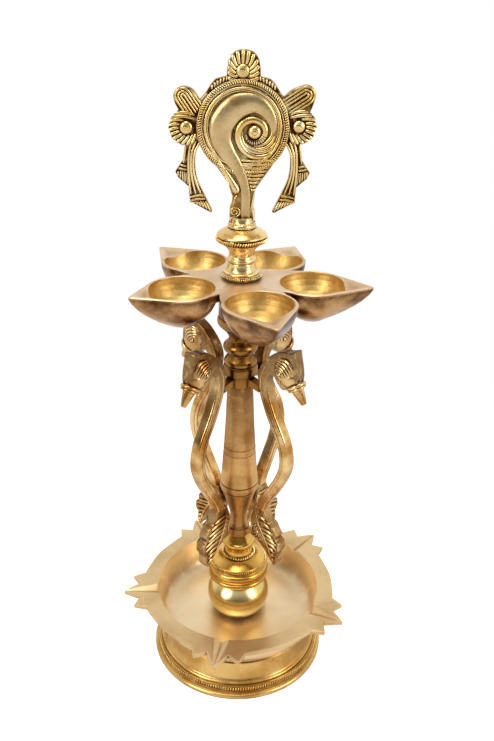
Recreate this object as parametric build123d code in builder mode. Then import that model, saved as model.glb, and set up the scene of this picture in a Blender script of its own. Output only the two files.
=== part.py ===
from build123d import *
import os
from math import acos, cos, radians, sin

# Aarti lamp in cast brass, in millimetres.
# It stands on the floor at z = 0 with its axis on Z, and its emblem faces -Y.
# An outline table holds (radius share, height share) rows, joined by straight lines.

# Fits and cutters
thread_clearance = 0.05
register_clearance = 0.05
stud_slip = 0.3
overrun = 1.0

# Studs, nut and washers
base_stud_radius = 4.0
base_stud_reach = 8.0
base_stud_tail = 1.5
nut_across_flats = 13.0
nut_height = 6.5
washer_radius = 8.0
washer_thickness = 1.6
stem_stud_radius = 4.0
stem_stud_reach = 10.0
stem_stud_seat = 14.0
stem_washer_radius = 11.5
stem_washer_thickness = 0.8
finial_stud_radius = 3.0
finial_stud_reach = 8.0
finial_stud_seat = 8.0
finial_washer_radius = 8.0
finial_washer_thickness = 0.5

# Foot
foot_radius = 48.8
foot_height = 20.0
foot_top_thickness = 2.8
foot_mouth_radius = 44.4
foot_cavity_radius = 39.4
foot_outline_shares = [
    (1.0, 0.0),
    (1.0, 0.13),
    (0.94, 0.2),
    (0.965, 0.3),
    (0.925, 0.37),
    (0.886, 0.46),
    (0.858, 1.0),
]

# Oil tray
tray_depth = 18.4
tray_floor_thickness = 2.6
tray_rim_thickness = 2.6
tray_seat_radius = 38.5
tray_bowl_radius = 45.7
tray_bowl_shares = [(0.842, 0.0), (0.945, 0.1), (0.969, 0.35), (1.0, 1.0)]
tray_wall = 2.8
tray_rim_radius = 55.0
tray_corner_count = 5
tray_first_corner = -100.7
tray_tip_radius = 65.6
tray_barb_radius = 61.4
tray_notch_radius = 57.4
tray_notch_angle = 5.7
tray_barb_angle = 11.2
tray_corner_angle = 15.2
spout_start_radius = 43.6
spout_end_radius = 63.4
spout_half_width = 4.4
spout_depth = 3.6
spout_end_share = 0.16
keel_wall = 2.0

# Ball between the tray and the stem
globe_height = 23.4
globe_radius = 17.5
globe_outline_shares = [(0.8, 0.0), (0.97, 0.24), (1.0, 0.52), (0.91, 0.79), (0.72, 1.0)]

# Bell at the foot of the stem
bell_radius = 16.9
bell_height = 31.2
bell_top_radius = 5.7
bell_outline_shares = [
    (0.72, 0.0),
    (0.99, 0.1),
    (0.93, 0.41),
    (0.66, 0.47),
    (0.5, 0.55),
    (0.43, 0.66),
    (0.51, 0.77),
    (0.51, 0.84),
]

# Collars, with an arm for each swan
lower_collar_radius = 5.9
lower_collar_height = 4.0
upper_collar_radius = 7.2
upper_collar_height = 5.2
horn_width = 2.6
horn_thickness = 3.0
lug_width = 4.6
lug_thickness = 3.4
lug_drop = 1.6

# Pillar: as long as the swans need
pillar_radius = 10.4
pillar_foot_spigot_radius = 3.0
pillar_foot_spigot = 12.0
pillar_top_spigot_radius = 4.0
pillar_top_spigot = 10.0
spigot_end_gap = 0.4
pillar_outline_shares = [
    (0.53, 0.0),
    (0.465, 0.08),
    (0.6, 0.17),
    (0.95, 0.285),
    (1.0, 0.3),
    (0.995, 0.333),
    (0.94, 0.345),
    (0.79, 0.6),
    (0.625, 1.0),
]

# Capital
capital_radius = 11.8
capital_height = 31.8
register_radius = 6.0
register_height = 4.0
capital_outline_shares = [
    (0.64, 0.0),
    (0.74, 0.13),
    (0.68, 0.25),
    (0.5, 0.37),
    (0.74, 0.49),
    (0.49, 0.61),
    (0.98, 0.88),
    (0.98, 1.0),
]

# Cup plate: irregular places, as the hand cast original has them
plate_thickness = 4.0
hub_radius = 11.0
hub_height = 15.7
cup_azimuths = [-76.3, -10.5, 60.5, 133.0, 209.0]
cup_place_shares = [1.0, 0.98, 0.9, 0.99, 0.9]
cup_tip_radius = 64.4
cup_centre_share = 0.5435
cup_outer_share = 0.2671
cup_wall = 1.7
cup_nose_radius = 1.1
cup_depth = 18.4
cup_bowl_depth = 15.0
cup_bowl_shares = [(0.226, 1.0), (0.75, 0.77), (0.965, 0.33), (1.0, 0.0)]
cup_section_shares = [
    (0.0, 1.0, 1.0),
    (0.5, 0.88, 0.55),
    (1.0, 0.3, 0.04),
]
cup_spout_half_width = 6.5
cup_spout_depth = 2.2
cup_spout_end_share = 0.12
cup_spout_nose_gap = 2.2

# Finial spool
spool_radius = 12.5
spool_height = 24.3
spool_outline_shares = [
    (0.77, 0.0),
    (0.77, 0.08),
    (0.52, 0.2),
    (0.56, 0.37),
    (0.48, 0.5),
    (0.76, 0.68),
    (1.0, 0.75),
    (1.0, 0.81),
    (0.53, 1.0),
]

# Conch emblem
emblem_spigot_radius = 3.0
emblem_spigot = 8.0
emblem_collar_radius = 6.6
emblem_collar_top_radius = 5.2
emblem_collar_height = 5.2
emblem_rise = 45.0
relief_sides = 12
disc_radius = 20.5
disc_thickness = 4.6
disc_rim_radius = 20.2
disc_rim_width = 2.2
disc_rim_relief = 1.1
conch_ring_radius = 17.4
conch_ring_relief = 0.8
conch_radius = 15.2
conch_dome_shares = [(1.0, 0.0), (0.66, 0.7), (0.0, 1.0)]
conch_dome = 3.0
plate_left_shares = [
    (0.91, 0.19),
    (0.59, 0.365),
    (0.307, 0.547),
    (0.215, 0.673),
    (0.21, 0.747),
    (0.273, 0.79),
]
plate_right_shares = [(0.28, 0.83), (0.215, 0.73), (0.254, 0.63), (0.824, 0.247)]
eye_x = 5.1
eye_z = -1.5
eye_radius = 2.4
eye_relief = 4.4
whorl_relief = 3.6
whorl_width = 2.1
whorl_radii = [3.9, 5.3, 7.0, 8.9]
body_width = 6.0
body_relief = 2.6
body_shares = [
    (-0.312, 0.144),
    (-0.185, 0.322),
    (-0.03, 0.473),
    (0.098, 0.629),
    (0.137, 0.773),
    (0.107, 0.92),
]
lip_width = 2.2
lip_relief = 1.7
lip_bead_radius = 1.7
lip_shares = [(-0.74, 0.2), (-0.46, 0.375), (-0.25, 0.515), (-0.13, 0.6)]
spire_count = 9
spire_top_drop = 13.2
spire_tip_drop = 27.2
spire_left_shares = (-0.03, 0.19)
spire_right_shares = (0.72, 0.275)
spire_relief = 1.5
spire_ridge_share = 0.62
scroll_x = -3.4
scroll_drop = 37.2
scroll_radius = 2.5
scroll_relief = 2.0
petal_thickness = 3.6
boss_radius = 3.0
boss_height = 1.4
crest_half_width = 7.2
crest_base = 19.0
crest_spring = 25.4
crest_top = 32.6
crest_boss_rise = 23.6
shoulder_shares = [(0.33, 1.05), (0.585, 1.005), (0.7, 0.88), (0.84, 0.64)]
shell_radius = 7.5
shell_reach = 25.4
side_petal_angle = 26.0
side_petal_reach = 29.4
side_petal_radius = 4.4
side_petal_root_half_width = 4.8
ribbon_reach = 30.5
ribbon_drop = 38.0
ribbon_long_thickness = 3.4
ribbon_short_thickness = 2.2
ribbon_long_shares = [
    (0.6, 0.1),
    (0.68, 0.26),
    (0.695, 0.44),
    (0.665, 0.6),
    (0.574, 0.77),
    (0.44, 0.99),
    (0.472, 1.0),
    (0.787, 0.866),
    (0.803, 0.695),
    (0.8, 0.42),
    (0.79, 0.1),
]
ribbon_short_shares = [
    (0.76, 0.12),
    (0.83, 0.12),
    (0.869, 0.371),
    (1.0, 0.513),
    (0.957, 0.579),
    (0.803, 0.695),
    (0.76, 0.42),
]

# Swans: tables hold (reach share, height share) rows from the pad and the tail's tip
swan_azimuths = {
    "swan_front_right": -41.4,
    "swan_back_right": 48.6,
    "swan_back_left": 138.6,
    "swan_front_left": 228.6,
}
swan_pad_radius = 14.2
swan_horn_radius = 11.0
swan_reach = 28.2
swan_height = 131.4
swan_tail_drop = 8.0
swan_lug_share = 0.7831
swan_horn_share = 0.1233
swan_thickness = 6.2
swan_pad_width = 3.0
bar_shares = [
    (0.212, 0.781),
    (0.362, 0.71),
    (0.554, 0.637),
    (0.684, 0.568),
    (0.72, 0.505),
    (0.672, 0.45),
    (0.578, 0.4),
    (0.431, 0.342),
    (0.23, 0.266),
    (0.125, 0.188),
    (-0.065, 0.192),
    (0.057, 0.284),
    (0.267, 0.363),
    (0.406, 0.418),
    (0.489, 0.462),
    (0.529, 0.507),
    (0.499, 0.557),
    (0.384, 0.618),
    (0.194, 0.69),
    (0.028, 0.769),
]
neck_shares = [
    (0.106, 0.75),
    (0.03, 0.791),
    (-0.02, 0.833),
    (0.0, 0.864),
    (0.089, 0.903),
    (0.301, 0.951),
    (0.543, 0.979),
    (0.667, 0.985),
    (0.858, 1.0),
    (0.872, 0.966),
    (0.908, 0.921),
    (0.911, 0.887),
    (0.865, 0.859),
    (0.649, 0.83),
    (0.543, 0.822),
    (0.418, 0.84),
    (0.291, 0.86),
    (0.191, 0.837),
    (0.177, 0.799),
    (0.216, 0.761),
]
tail_shares = [
    (-0.057, 0.251),
    (-0.145, 0.196),
    (-0.1135, 0.145),
    (-0.1135, 0.095),
    (0.03, 0.091),
    (0.259, 0.057),
    (0.48, 0.0),
    (0.55, 0.025),
    (0.525, 0.061),
    (0.6, 0.084),
    (0.585, 0.118),
    (0.49, 0.126),
    (0.52, 0.152),
    (0.42, 0.183),
    (0.312, 0.187),
    (0.27, 0.213),
    (0.19, 0.251),
]
head_shares = (0.6, 0.905)
head_radius = 8.4
head_taper = 34.0
head_half_thickness = 5.0
head_sides = 12
beak_shares = (0.755, 0.845)
beak_angle = -53.0
beak_length = 8.6
beak_root_radius = 3.0
beak_taper = 11.0
beak_sides = 8
beak_ring_height = 1.7
beak_ring_margin = 0.8

# Cups, from the reach of their tips
cup_centre_radius = cup_tip_radius * cup_centre_share
cup_outer_radius = cup_tip_radius * cup_outer_share
cup_bowl_radius = cup_outer_radius - cup_wall
plate_web_radius = cup_centre_radius

# Heights of the seats, from the floor up
tray_floor_top = foot_height + tray_floor_thickness
tray_rim_top = tray_floor_top + tray_depth
globe_top = tray_floor_top + globe_height
bell_bottom = globe_top + stem_washer_thickness
bell_top = bell_bottom + bell_height
pillar_bottom = bell_top + lower_collar_height
swan_foot = bell_top - swan_tail_drop
horn_top = swan_foot + swan_height * swan_horn_share
horn_middle = horn_top - horn_thickness / 2
lug_middle = swan_foot + swan_height * swan_lug_share
lug_top = lug_middle + lug_thickness / 2
capital_bottom = lug_top + lug_drop
pillar_top = capital_bottom - upper_collar_height
pillar_height = pillar_top - pillar_bottom
capital_top = capital_bottom + capital_height
plate_bottom = capital_top + hub_height
plate_top = plate_bottom + plate_thickness
spool_bottom = plate_top + finial_washer_thickness
spool_top = spool_bottom + spool_height
disc_height = spool_top + emblem_rise
base_hole_radius = base_stud_radius + thread_clearance
stem_hole_radius = stem_stud_radius + thread_clearance
finial_hole_radius = finial_stud_radius + thread_clearance


def polar(radius, azimuth):
    """The point at a radius and an azimuth in degrees."""
    return radius * cos(radians(azimuth)), radius * sin(radians(azimuth))


def radial_plane(azimuth):
    """The upright plane through the axis, with its X along the azimuth and its Y up."""
    out = polar(1, azimuth)
    return Plane(origin=(0, 0, 0), x_dir=(out[0], out[1], 0), z_dir=(out[1], -out[0], 0))


def facing_plane(azimuth, radius, height):
    """The upright plane that faces outward at a radius, with its Y up."""
    out = polar(1, azimuth)
    place = polar(radius, azimuth)
    return Plane(origin=(*place, height), x_dir=(-out[1], out[0], 0), z_dir=(*out, 0))


def turned(shares, radius, bottom, height):
    """Places an outline table's rows in the upright half plane."""
    return [(r * radius, bottom + z * height) for r, z in shares]


def save(builder, name):
    """Names a finished piece and writes its file."""
    builder.part.label = name
    export_step(builder.part, f"parts/{name}.step")


os.makedirs("parts", exist_ok=True)

# Foot drum
with BuildPart() as foot_drum:
    with BuildSketch(Plane.XZ):
        with BuildLine():
            Polyline(
                *turned(foot_outline_shares, foot_radius, 0, foot_height),
                (base_hole_radius, foot_height),
                (base_hole_radius, foot_height - foot_top_thickness),
                (foot_cavity_radius, foot_height - foot_top_thickness),
                (foot_mouth_radius, 0),
                close=True,
            )
        make_face()
    revolve(axis=Axis.Z)
save(foot_drum, "foot_drum")

# Oil tray: bowl, rim with five corners, and a spout with its keel in each corner
bowl_line = turned(tray_bowl_shares, tray_bowl_radius, tray_floor_top, tray_depth)
spout_top = tray_rim_top
spout_shares = [(spout_start_radius, 1.0), (spout_end_radius, spout_end_share)]
with BuildPart() as oil_tray:
    with BuildSketch(Plane.XZ):
        with BuildLine():
            Polyline(
                (base_hole_radius, foot_height),
                (tray_seat_radius, foot_height),
                *[(radius + tray_wall, height) for radius, height in bowl_line[1:]],
                (base_hole_radius, tray_rim_top),
                close=True,
            )
        make_face()
    revolve(axis=Axis.Z)
    with BuildSketch(Plane.XY.offset(tray_rim_top - tray_rim_thickness)):
        with BuildLine():
            step = 360 / tray_corner_count
            for corner in range(tray_corner_count):
                tip = tray_first_corner + corner * step
                Polyline(
                    polar(tray_rim_radius, tip - tray_corner_angle),
                    polar(tray_barb_radius, tip - tray_barb_angle),
                    polar(tray_notch_radius, tip - tray_notch_angle),
                    polar(tray_tip_radius, tip),
                    polar(tray_notch_radius, tip + tray_notch_angle),
                    polar(tray_barb_radius, tip + tray_barb_angle),
                    polar(tray_rim_radius, tip + tray_corner_angle),
                )
                ThreePointArc(
                    polar(tray_rim_radius, tip + tray_corner_angle),
                    polar(tray_rim_radius, tip + step / 2),
                    polar(tray_rim_radius, tip + step - tray_corner_angle),
                )
        make_face()
    extrude(amount=tray_rim_thickness)
    for corner in range(tray_corner_count):
        tip = tray_first_corner + corner * step
        for radius, share in spout_shares:
            with BuildSketch(facing_plane(tip, radius, spout_top)):
                with BuildLine():
                    Polyline(
                        (-spout_half_width * share - keel_wall, -tray_rim_thickness / 2),
                        (0, -spout_depth * share - keel_wall),
                        (spout_half_width * share + keel_wall, -tray_rim_thickness / 2),
                        close=True,
                    )
                make_face()
        loft()
    with BuildSketch(Plane.XZ):
        with BuildLine():
            Polyline(
                (0, tray_floor_top),
                *bowl_line,
                (tray_bowl_radius, tray_rim_top + overrun),
                (0, tray_rim_top + overrun),
                close=True,
            )
        make_face()
    revolve(axis=Axis.Z, mode=Mode.SUBTRACT)
    for corner in range(tray_corner_count):
        tip = tray_first_corner + corner * step
        for radius, share in spout_shares:
            with BuildSketch(facing_plane(tip, radius, spout_top)):
                with BuildLine():
                    Polyline(
                        (-spout_half_width * share, 0),
                        (0, -spout_depth * share),
                        (spout_half_width * share, 0),
                        (spout_half_width * share, overrun),
                        (-spout_half_width * share, overrun),
                        close=True,
                    )
                make_face()
        loft(mode=Mode.SUBTRACT)
save(oil_tray, "oil_tray")

# Globe knob, with a stud hole at each end
with BuildPart() as globe_knob:
    with BuildSketch(Plane.XZ):
        with BuildLine():
            Polyline(
                (0, tray_floor_top),
                *turned(globe_outline_shares, globe_radius, tray_floor_top, globe_height),
                (0, globe_top),
                close=True,
            )
        make_face()
    revolve(axis=Axis.Z)
    with BuildSketch(Plane.XY.offset(tray_floor_top)):
        Circle(base_hole_radius)
    extrude(amount=base_stud_reach, mode=Mode.SUBTRACT)
    with BuildSketch(Plane.XY.offset(globe_top)):
        Circle(stem_hole_radius)
    extrude(amount=-stem_stud_reach, mode=Mode.SUBTRACT)
save(globe_knob, "globe_knob")

# Base stud, washer and nut, inside the foot
washer_top = foot_height - foot_top_thickness
nut_top = washer_top - washer_thickness
nut_bottom = nut_top - nut_height
with BuildPart() as base_stud:
    with BuildSketch(Plane.XY.offset(nut_bottom - base_stud_tail)):
        Circle(base_stud_radius)
    extrude(amount=tray_floor_top + base_stud_reach - nut_bottom + base_stud_tail)
save(base_stud, "base_stud")

with BuildPart() as base_washer:
    with BuildSketch(Plane.XY.offset(nut_top)):
        Circle(washer_radius)
        Circle(base_hole_radius, mode=Mode.SUBTRACT)
    extrude(amount=washer_thickness)
save(base_washer, "base_washer")

with BuildPart() as base_nut:
    with BuildSketch(Plane.XY.offset(nut_bottom)):
        RegularPolygon(nut_across_flats / 2, side_count=6, major_radius=False)
        Circle(base_hole_radius, mode=Mode.SUBTRACT)
    extrude(amount=nut_height)
save(base_nut, "base_nut")

# Stem washer and stud
with BuildPart() as stem_washer:
    with BuildSketch(Plane.XY.offset(globe_top)):
        Circle(stem_washer_radius)
        Circle(stem_stud_radius + stud_slip, mode=Mode.SUBTRACT)
    extrude(amount=stem_washer_thickness)
save(stem_washer, "stem_washer")

with BuildPart() as stem_stud:
    with BuildSketch(Plane.XY.offset(globe_top - stem_stud_reach)):
        Circle(stem_stud_radius)
    extrude(amount=stem_stud_reach + stem_washer_thickness + stem_stud_seat)
save(stem_stud, "stem_stud")

# Stem base: the bell, bored for the stud below and for the pillar's spigot above
with BuildPart() as stem_base:
    with BuildSketch(Plane.XZ):
        with BuildLine():
            Polyline(
                (0, bell_bottom),
                *turned(bell_outline_shares, bell_radius, bell_bottom, bell_height),
                (bell_top_radius, bell_top),
                (0, bell_top),
                close=True,
            )
        make_face()
    revolve(axis=Axis.Z)
    with BuildSketch(Plane.XY.offset(bell_bottom)):
        Circle(stem_hole_radius)
    extrude(amount=stem_stud_seat, mode=Mode.SUBTRACT)
    with BuildSketch(Plane.XY.offset(bell_top)):
        Circle(pillar_foot_spigot_radius + thread_clearance)
    extrude(amount=-pillar_foot_spigot - spigot_end_gap, mode=Mode.SUBTRACT)
save(stem_base, "stem_base")

# Lower collar with four horns that hold the swans' tails
with BuildPart() as lower_collar:
    with BuildSketch(Plane.XY.offset(bell_top)):
        Circle(lower_collar_radius)
    extrude(amount=lower_collar_height)
    for azimuth in swan_azimuths.values():
        with BuildSketch(radial_plane(azimuth)):
            with BuildLine():
                Polyline(
                    (0, bell_top),
                    (lower_collar_radius, bell_top),
                    (swan_horn_radius, horn_top - horn_thickness),
                    (swan_horn_radius, horn_top),
                    (lower_collar_radius, pillar_bottom),
                    (0, pillar_bottom),
                    close=True,
                )
            make_face()
        extrude(amount=horn_width / 2, both=True)
    with BuildSketch(Plane.XY.offset(bell_top)):
        Circle(pillar_foot_spigot_radius + thread_clearance)
    extrude(amount=lower_collar_height, mode=Mode.SUBTRACT)
save(lower_collar, "lower_collar")

# Pillar with a spigot at each end
with BuildPart() as pillar:
    with BuildSketch(Plane.XZ):
        with BuildLine():
            Polyline(
                *turned(pillar_outline_shares, pillar_radius, pillar_bottom, pillar_height),
                (pillar_top_spigot_radius, pillar_top),
                (pillar_top_spigot_radius, capital_bottom + pillar_top_spigot),
                (0, capital_bottom + pillar_top_spigot),
                (0, bell_top - pillar_foot_spigot),
                (pillar_foot_spigot_radius, bell_top - pillar_foot_spigot),
                (pillar_foot_spigot_radius, pillar_bottom),
                close=True,
            )
        make_face()
    revolve(axis=Axis.Z)
save(pillar, "pillar")

# Upper collar with four lugs that carry the swans' necks
with BuildPart() as upper_collar:
    with BuildSketch(Plane.XY.offset(pillar_top)):
        Circle(upper_collar_radius)
    extrude(amount=upper_collar_height)
    for azimuth in swan_azimuths.values():
        with BuildSketch(radial_plane(azimuth)):
            with BuildLine():
                Polyline(
                    (0, capital_bottom),
                    (upper_collar_radius, capital_bottom),
                    (swan_pad_radius, lug_top),
                    (swan_pad_radius, lug_top - lug_thickness),
                    (upper_collar_radius, capital_bottom - lug_thickness),
                    (0, capital_bottom - lug_thickness),
                    close=True,
                )
            make_face()
        extrude(amount=lug_width / 2, both=True)
    with BuildSketch(Plane.XY.offset(pillar_top)):
        Circle(pillar_top_spigot_radius + thread_clearance)
    extrude(amount=upper_collar_height, mode=Mode.SUBTRACT)
save(upper_collar, "upper_collar")

# Capital: bored for the pillar below and for the finial's stud above
with BuildPart() as capital:
    with BuildSketch(Plane.XZ):
        with BuildLine():
            Polyline(
                *turned(capital_outline_shares, capital_radius, capital_bottom, capital_height),
                (register_radius, capital_top),
                (register_radius, capital_top + register_height),
                (0, capital_top + register_height),
                (0, capital_bottom),
                close=True,
            )
        make_face()
    revolve(axis=Axis.Z)
    with BuildSketch(Plane.XY.offset(capital_bottom)):
        Circle(pillar_top_spigot_radius + thread_clearance)
    extrude(amount=pillar_top_spigot + spigot_end_gap, mode=Mode.SUBTRACT)
    with BuildSketch(Plane.XY.offset(capital_top + register_height)):
        Circle(finial_hole_radius)
    extrude(amount=-finial_stud_reach, mode=Mode.SUBTRACT)
save(capital, "capital")

# Cup plate: hub, web and five pointed cups with their bowls and wick spouts
register_hole_depth = register_height + spigot_end_gap
with BuildPart() as cup_plate:
    with BuildSketch(Plane.XY.offset(plate_bottom)):
        Circle(plate_web_radius)
    extrude(amount=plate_thickness)
    with BuildSketch(Plane.XY.offset(capital_top)):
        Circle(hub_radius)
    extrude(amount=hub_height)
    for azimuth, place in zip(cup_azimuths, cup_place_shares):
        centre = polar(cup_centre_radius * place, azimuth)
        cup_reach = (cup_tip_radius - cup_centre_radius) * place - cup_outer_radius
        for drop, width, nose in cup_section_shares:
            level = Plane(origin=(*centre, plate_top - drop * cup_depth), x_dir=(*polar(1, azimuth), 0))
            wide = cup_outer_radius * width
            reach = wide + cup_reach * nose
            lean = acos((wide - cup_nose_radius) / (reach - cup_nose_radius))
            cheek = (wide * cos(lean), wide * sin(lean))
            nostril = (reach - cup_nose_radius * (1 - cos(lean)), cup_nose_radius * sin(lean))
            with BuildSketch(level):
                with BuildLine():
                    ThreePointArc((cheek[0], -cheek[1]), (-wide, 0), cheek)
                    Line(cheek, nostril)
                    ThreePointArc(nostril, (reach, 0), (nostril[0], -nostril[1]))
                    Line((nostril[0], -nostril[1]), (cheek[0], -cheek[1]))
                make_face()
        loft(ruled=True)
    for azimuth, place in zip(cup_azimuths, cup_place_shares):
        centre = polar(cup_centre_radius * place, azimuth)
        bowl = Plane(origin=(*centre, plate_top), x_dir=(*polar(1, azimuth), 0), z_dir=(0, 0, 1))
        upright = Plane(origin=bowl.origin, x_dir=bowl.x_dir, z_dir=-bowl.y_dir)
        with BuildSketch(upright):
            with BuildLine():
                Polyline(
                    (0, -cup_bowl_depth),
                    *turned(cup_bowl_shares, cup_bowl_radius, 0, -cup_bowl_depth),
                    (cup_bowl_radius, overrun),
                    (0, overrun),
                    close=True,
                )
            make_face()
        revolve(axis=Axis(bowl.origin, (0, 0, 1)), mode=Mode.SUBTRACT)
        spout_start = cup_centre_radius * place + cup_bowl_radius - cup_spout_half_width / 2
        spout_end = cup_centre_radius * place + (cup_tip_radius - cup_centre_radius) * place
        for radius, share in ((spout_start, 1), (spout_end - cup_spout_nose_gap, cup_spout_end_share)):
            with BuildSketch(facing_plane(azimuth, radius, plate_top)):
                with BuildLine():
                    Polyline(
                        (-cup_spout_half_width * share, 0),
                        (0, -cup_spout_depth * share),
                        (cup_spout_half_width * share, 0),
                        (cup_spout_half_width * share, overrun),
                        (-cup_spout_half_width * share, overrun),
                        close=True,
                    )
                make_face()
        loft(mode=Mode.SUBTRACT)
    with BuildSketch(Plane.XY.offset(capital_top)):
        Circle(register_radius + register_clearance)
    extrude(amount=register_hole_depth, mode=Mode.SUBTRACT)
    with BuildSketch(Plane.XY.offset(capital_top)):
        Circle(finial_stud_radius + stud_slip)
    extrude(amount=plate_top - capital_top, mode=Mode.SUBTRACT)
save(cup_plate, "cup_plate")

# Finial washer, stud and spool
with BuildPart() as finial_washer:
    with BuildSketch(Plane.XY.offset(plate_top)):
        Circle(finial_washer_radius)
        Circle(finial_stud_radius + stud_slip, mode=Mode.SUBTRACT)
    extrude(amount=finial_washer_thickness)
save(finial_washer, "finial_washer")

finial_stud_bottom = capital_top + register_height - finial_stud_reach
with BuildPart() as finial_stud:
    with BuildSketch(Plane.XY.offset(finial_stud_bottom)):
        Circle(finial_stud_radius)
    extrude(amount=spool_bottom + finial_stud_seat - finial_stud_bottom)
save(finial_stud, "finial_stud")

with BuildPart() as finial_spool:
    with BuildSketch(Plane.XZ):
        with BuildLine():
            Polyline(
                (0, spool_bottom),
                *turned(spool_outline_shares, spool_radius, spool_bottom, spool_height),
                (0, spool_top),
                close=True,
            )
        make_face()
    revolve(axis=Axis.Z)
    with BuildSketch(Plane.XY.offset(spool_bottom)):
        Circle(finial_hole_radius)
    extrude(amount=finial_stud_seat, mode=Mode.SUBTRACT)
    with BuildSketch(Plane.XY.offset(spool_top)):
        Circle(emblem_spigot_radius + thread_clearance)
    extrude(amount=-emblem_spigot - spigot_end_gap, mode=Mode.SUBTRACT)
save(finial_spool, "finial_spool")

# Conch emblem: one flat casting on a collar and a spigot, with its relief on the front
front = Plane(origin=(0, 0, disc_height), x_dir=(1, 0, 0), z_dir=(0, -1, 0))
face = front.offset(disc_thickness / 2)
disc_axis = Axis((0, 0, disc_height), (0, 1, 0))
emblem_foot = emblem_rise - emblem_collar_height / 2


def mirrored(points, side):
    """Sets points on the right or, where side is -1, on the left."""
    return [(side * x, z) for x, z in points]


with BuildPart() as conch_emblem:
    with BuildSketch(Plane.XZ):
        with BuildLine():
            Polyline(
                (0, spool_top - emblem_spigot),
                (emblem_spigot_radius, spool_top - emblem_spigot),
                (emblem_spigot_radius, spool_top),
                (emblem_collar_radius, spool_top),
                (emblem_collar_top_radius, spool_top + emblem_collar_height),
                (0, spool_top + emblem_collar_height),
                close=True,
            )
        make_face()
    revolve(axis=Axis.Z)
    # Disc, scaled shoulders and the body that narrows to the collar
    with BuildSketch(front):
        Circle(disc_radius)
        with BuildLine():
            Polyline(
                *[(-x * disc_radius, -z * emblem_rise) for x, z in plate_left_shares],
                (-emblem_collar_top_radius, -emblem_foot),
                (emblem_collar_top_radius, -emblem_foot),
                *[(x * disc_radius, -z * emblem_rise) for x, z in plate_right_shares],
                close=True,
            )
        make_face()
        for side in (-1, 1):
            with BuildLine():
                Polyline(
                    (0, crest_base),
                    *mirrored([(x * disc_radius, z * disc_radius) for x, z in shoulder_shares], side),
                    (0, 0),
                    close=True,
                )
            make_face()
    extrude(amount=disc_thickness / 2, both=True)
    # Crest, side petals and round shells
    with BuildSketch(front):
        with BuildLine():
            ThreePointArc((crest_half_width, crest_spring), (0, crest_top), (-crest_half_width, crest_spring))
            Polyline(
                (-crest_half_width, crest_spring),
                (-crest_half_width, 0),
                (crest_half_width, 0),
                (crest_half_width, crest_spring),
            )
        make_face()
        for side in (-1, 1):
            with Locations((side * shell_reach, 0)):
                RegularPolygon(shell_radius, side_count=relief_sides)
            along = polar(1, side_petal_angle)
            petal = [
                (0, -side_petal_root_half_width),
                (side_petal_reach, -side_petal_radius),
                (side_petal_reach + side_petal_radius, 0),
                (side_petal_reach, side_petal_radius),
                (0, side_petal_root_half_width),
            ]
            leaning = [(x * along[0] - z * along[1], x * along[1] + z * along[0]) for x, z in petal]
            spots = mirrored(leaning, side)
            with BuildLine():
                Line(spots[0], spots[1])
                ThreePointArc(spots[1], spots[2], spots[3])
                Polyline(spots[3], spots[4], spots[0])
            make_face()
    extrude(amount=petal_thickness / 2, both=True)
    with BuildSketch(front.offset(petal_thickness / 2)):
        with Locations((0, crest_boss_rise), (shell_reach, 0), (-shell_reach, 0)):
            RegularPolygon(boss_radius, side_count=relief_sides)
    extrude(amount=boss_height)
    # Ribbons, the long pair in front of the short pair
    for shares, thickness in (
        (ribbon_long_shares, ribbon_long_thickness),
        (ribbon_short_shares, ribbon_short_thickness),
    ):
        with BuildSketch(front):
            for side in (-1, 1):
                with BuildLine():
                    Polyline(
                        *mirrored([(x * ribbon_reach, -z * ribbon_drop) for x, z in shares], side),
                        close=True,
                    )
                make_face()
        extrude(amount=thickness / 2, both=True)
    # Raised rim and ring, and the domed body of the conch
    with BuildSketch(face):
        Circle(disc_rim_radius)
        Circle(disc_rim_radius - disc_rim_width, mode=Mode.SUBTRACT)
    extrude(amount=disc_rim_relief)
    with BuildSketch(face):
        Circle(conch_ring_radius)
    extrude(amount=conch_ring_relief)
    with BuildSketch(Plane.YZ):
        with BuildLine():
            dome = turned(conch_dome_shares, conch_radius, disc_thickness / 2, conch_dome)
            Polyline(*[(-depth, disc_height + radius) for radius, depth in dome], (0, disc_height))
            Polyline(
                (0, disc_height),
                (0, disc_height + conch_radius),
                (-disc_thickness / 2, disc_height + conch_radius),
            )
        make_face()
    revolve(axis=disc_axis)
    # Body that sweeps down into the foot, lip, whorls, eye and scroll
    with BuildSketch(face):
        with BuildLine():
            Spline(*[(x * disc_radius, -z * emblem_rise) for x, z in body_shares])
        trace(line_width=body_width)
    extrude(amount=body_relief)
    with BuildSketch(face):
        with BuildLine():
            lip = Spline(*[(x * disc_radius, -z * emblem_rise) for x, z in lip_shares])
        trace(line_width=lip_width)
        with Locations(lip @ 1):
            RegularPolygon(lip_bead_radius, side_count=relief_sides)
    extrude(amount=lip_relief)
    with BuildSketch(face):
        with BuildLine():
            side = 1
            start = eye_x + whorl_radii[0]
            for radius in whorl_radii:
                end = start - side * 2 * radius
                middle = (start + end) / 2
                ThreePointArc((start, eye_z), (middle, eye_z + side * radius), (end, eye_z))
                start = end
                side = -side
        trace(line_width=whorl_width)
    extrude(amount=whorl_relief)
    with BuildSketch(face):
        with Locations((eye_x, eye_z)):
            RegularPolygon(eye_radius, side_count=relief_sides)
    extrude(amount=eye_relief)
    with BuildSketch(face):
        with Locations((scroll_x, -scroll_drop)):
            RegularPolygon(scroll_radius, side_count=relief_sides)
    extrude(amount=scroll_relief)
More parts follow.
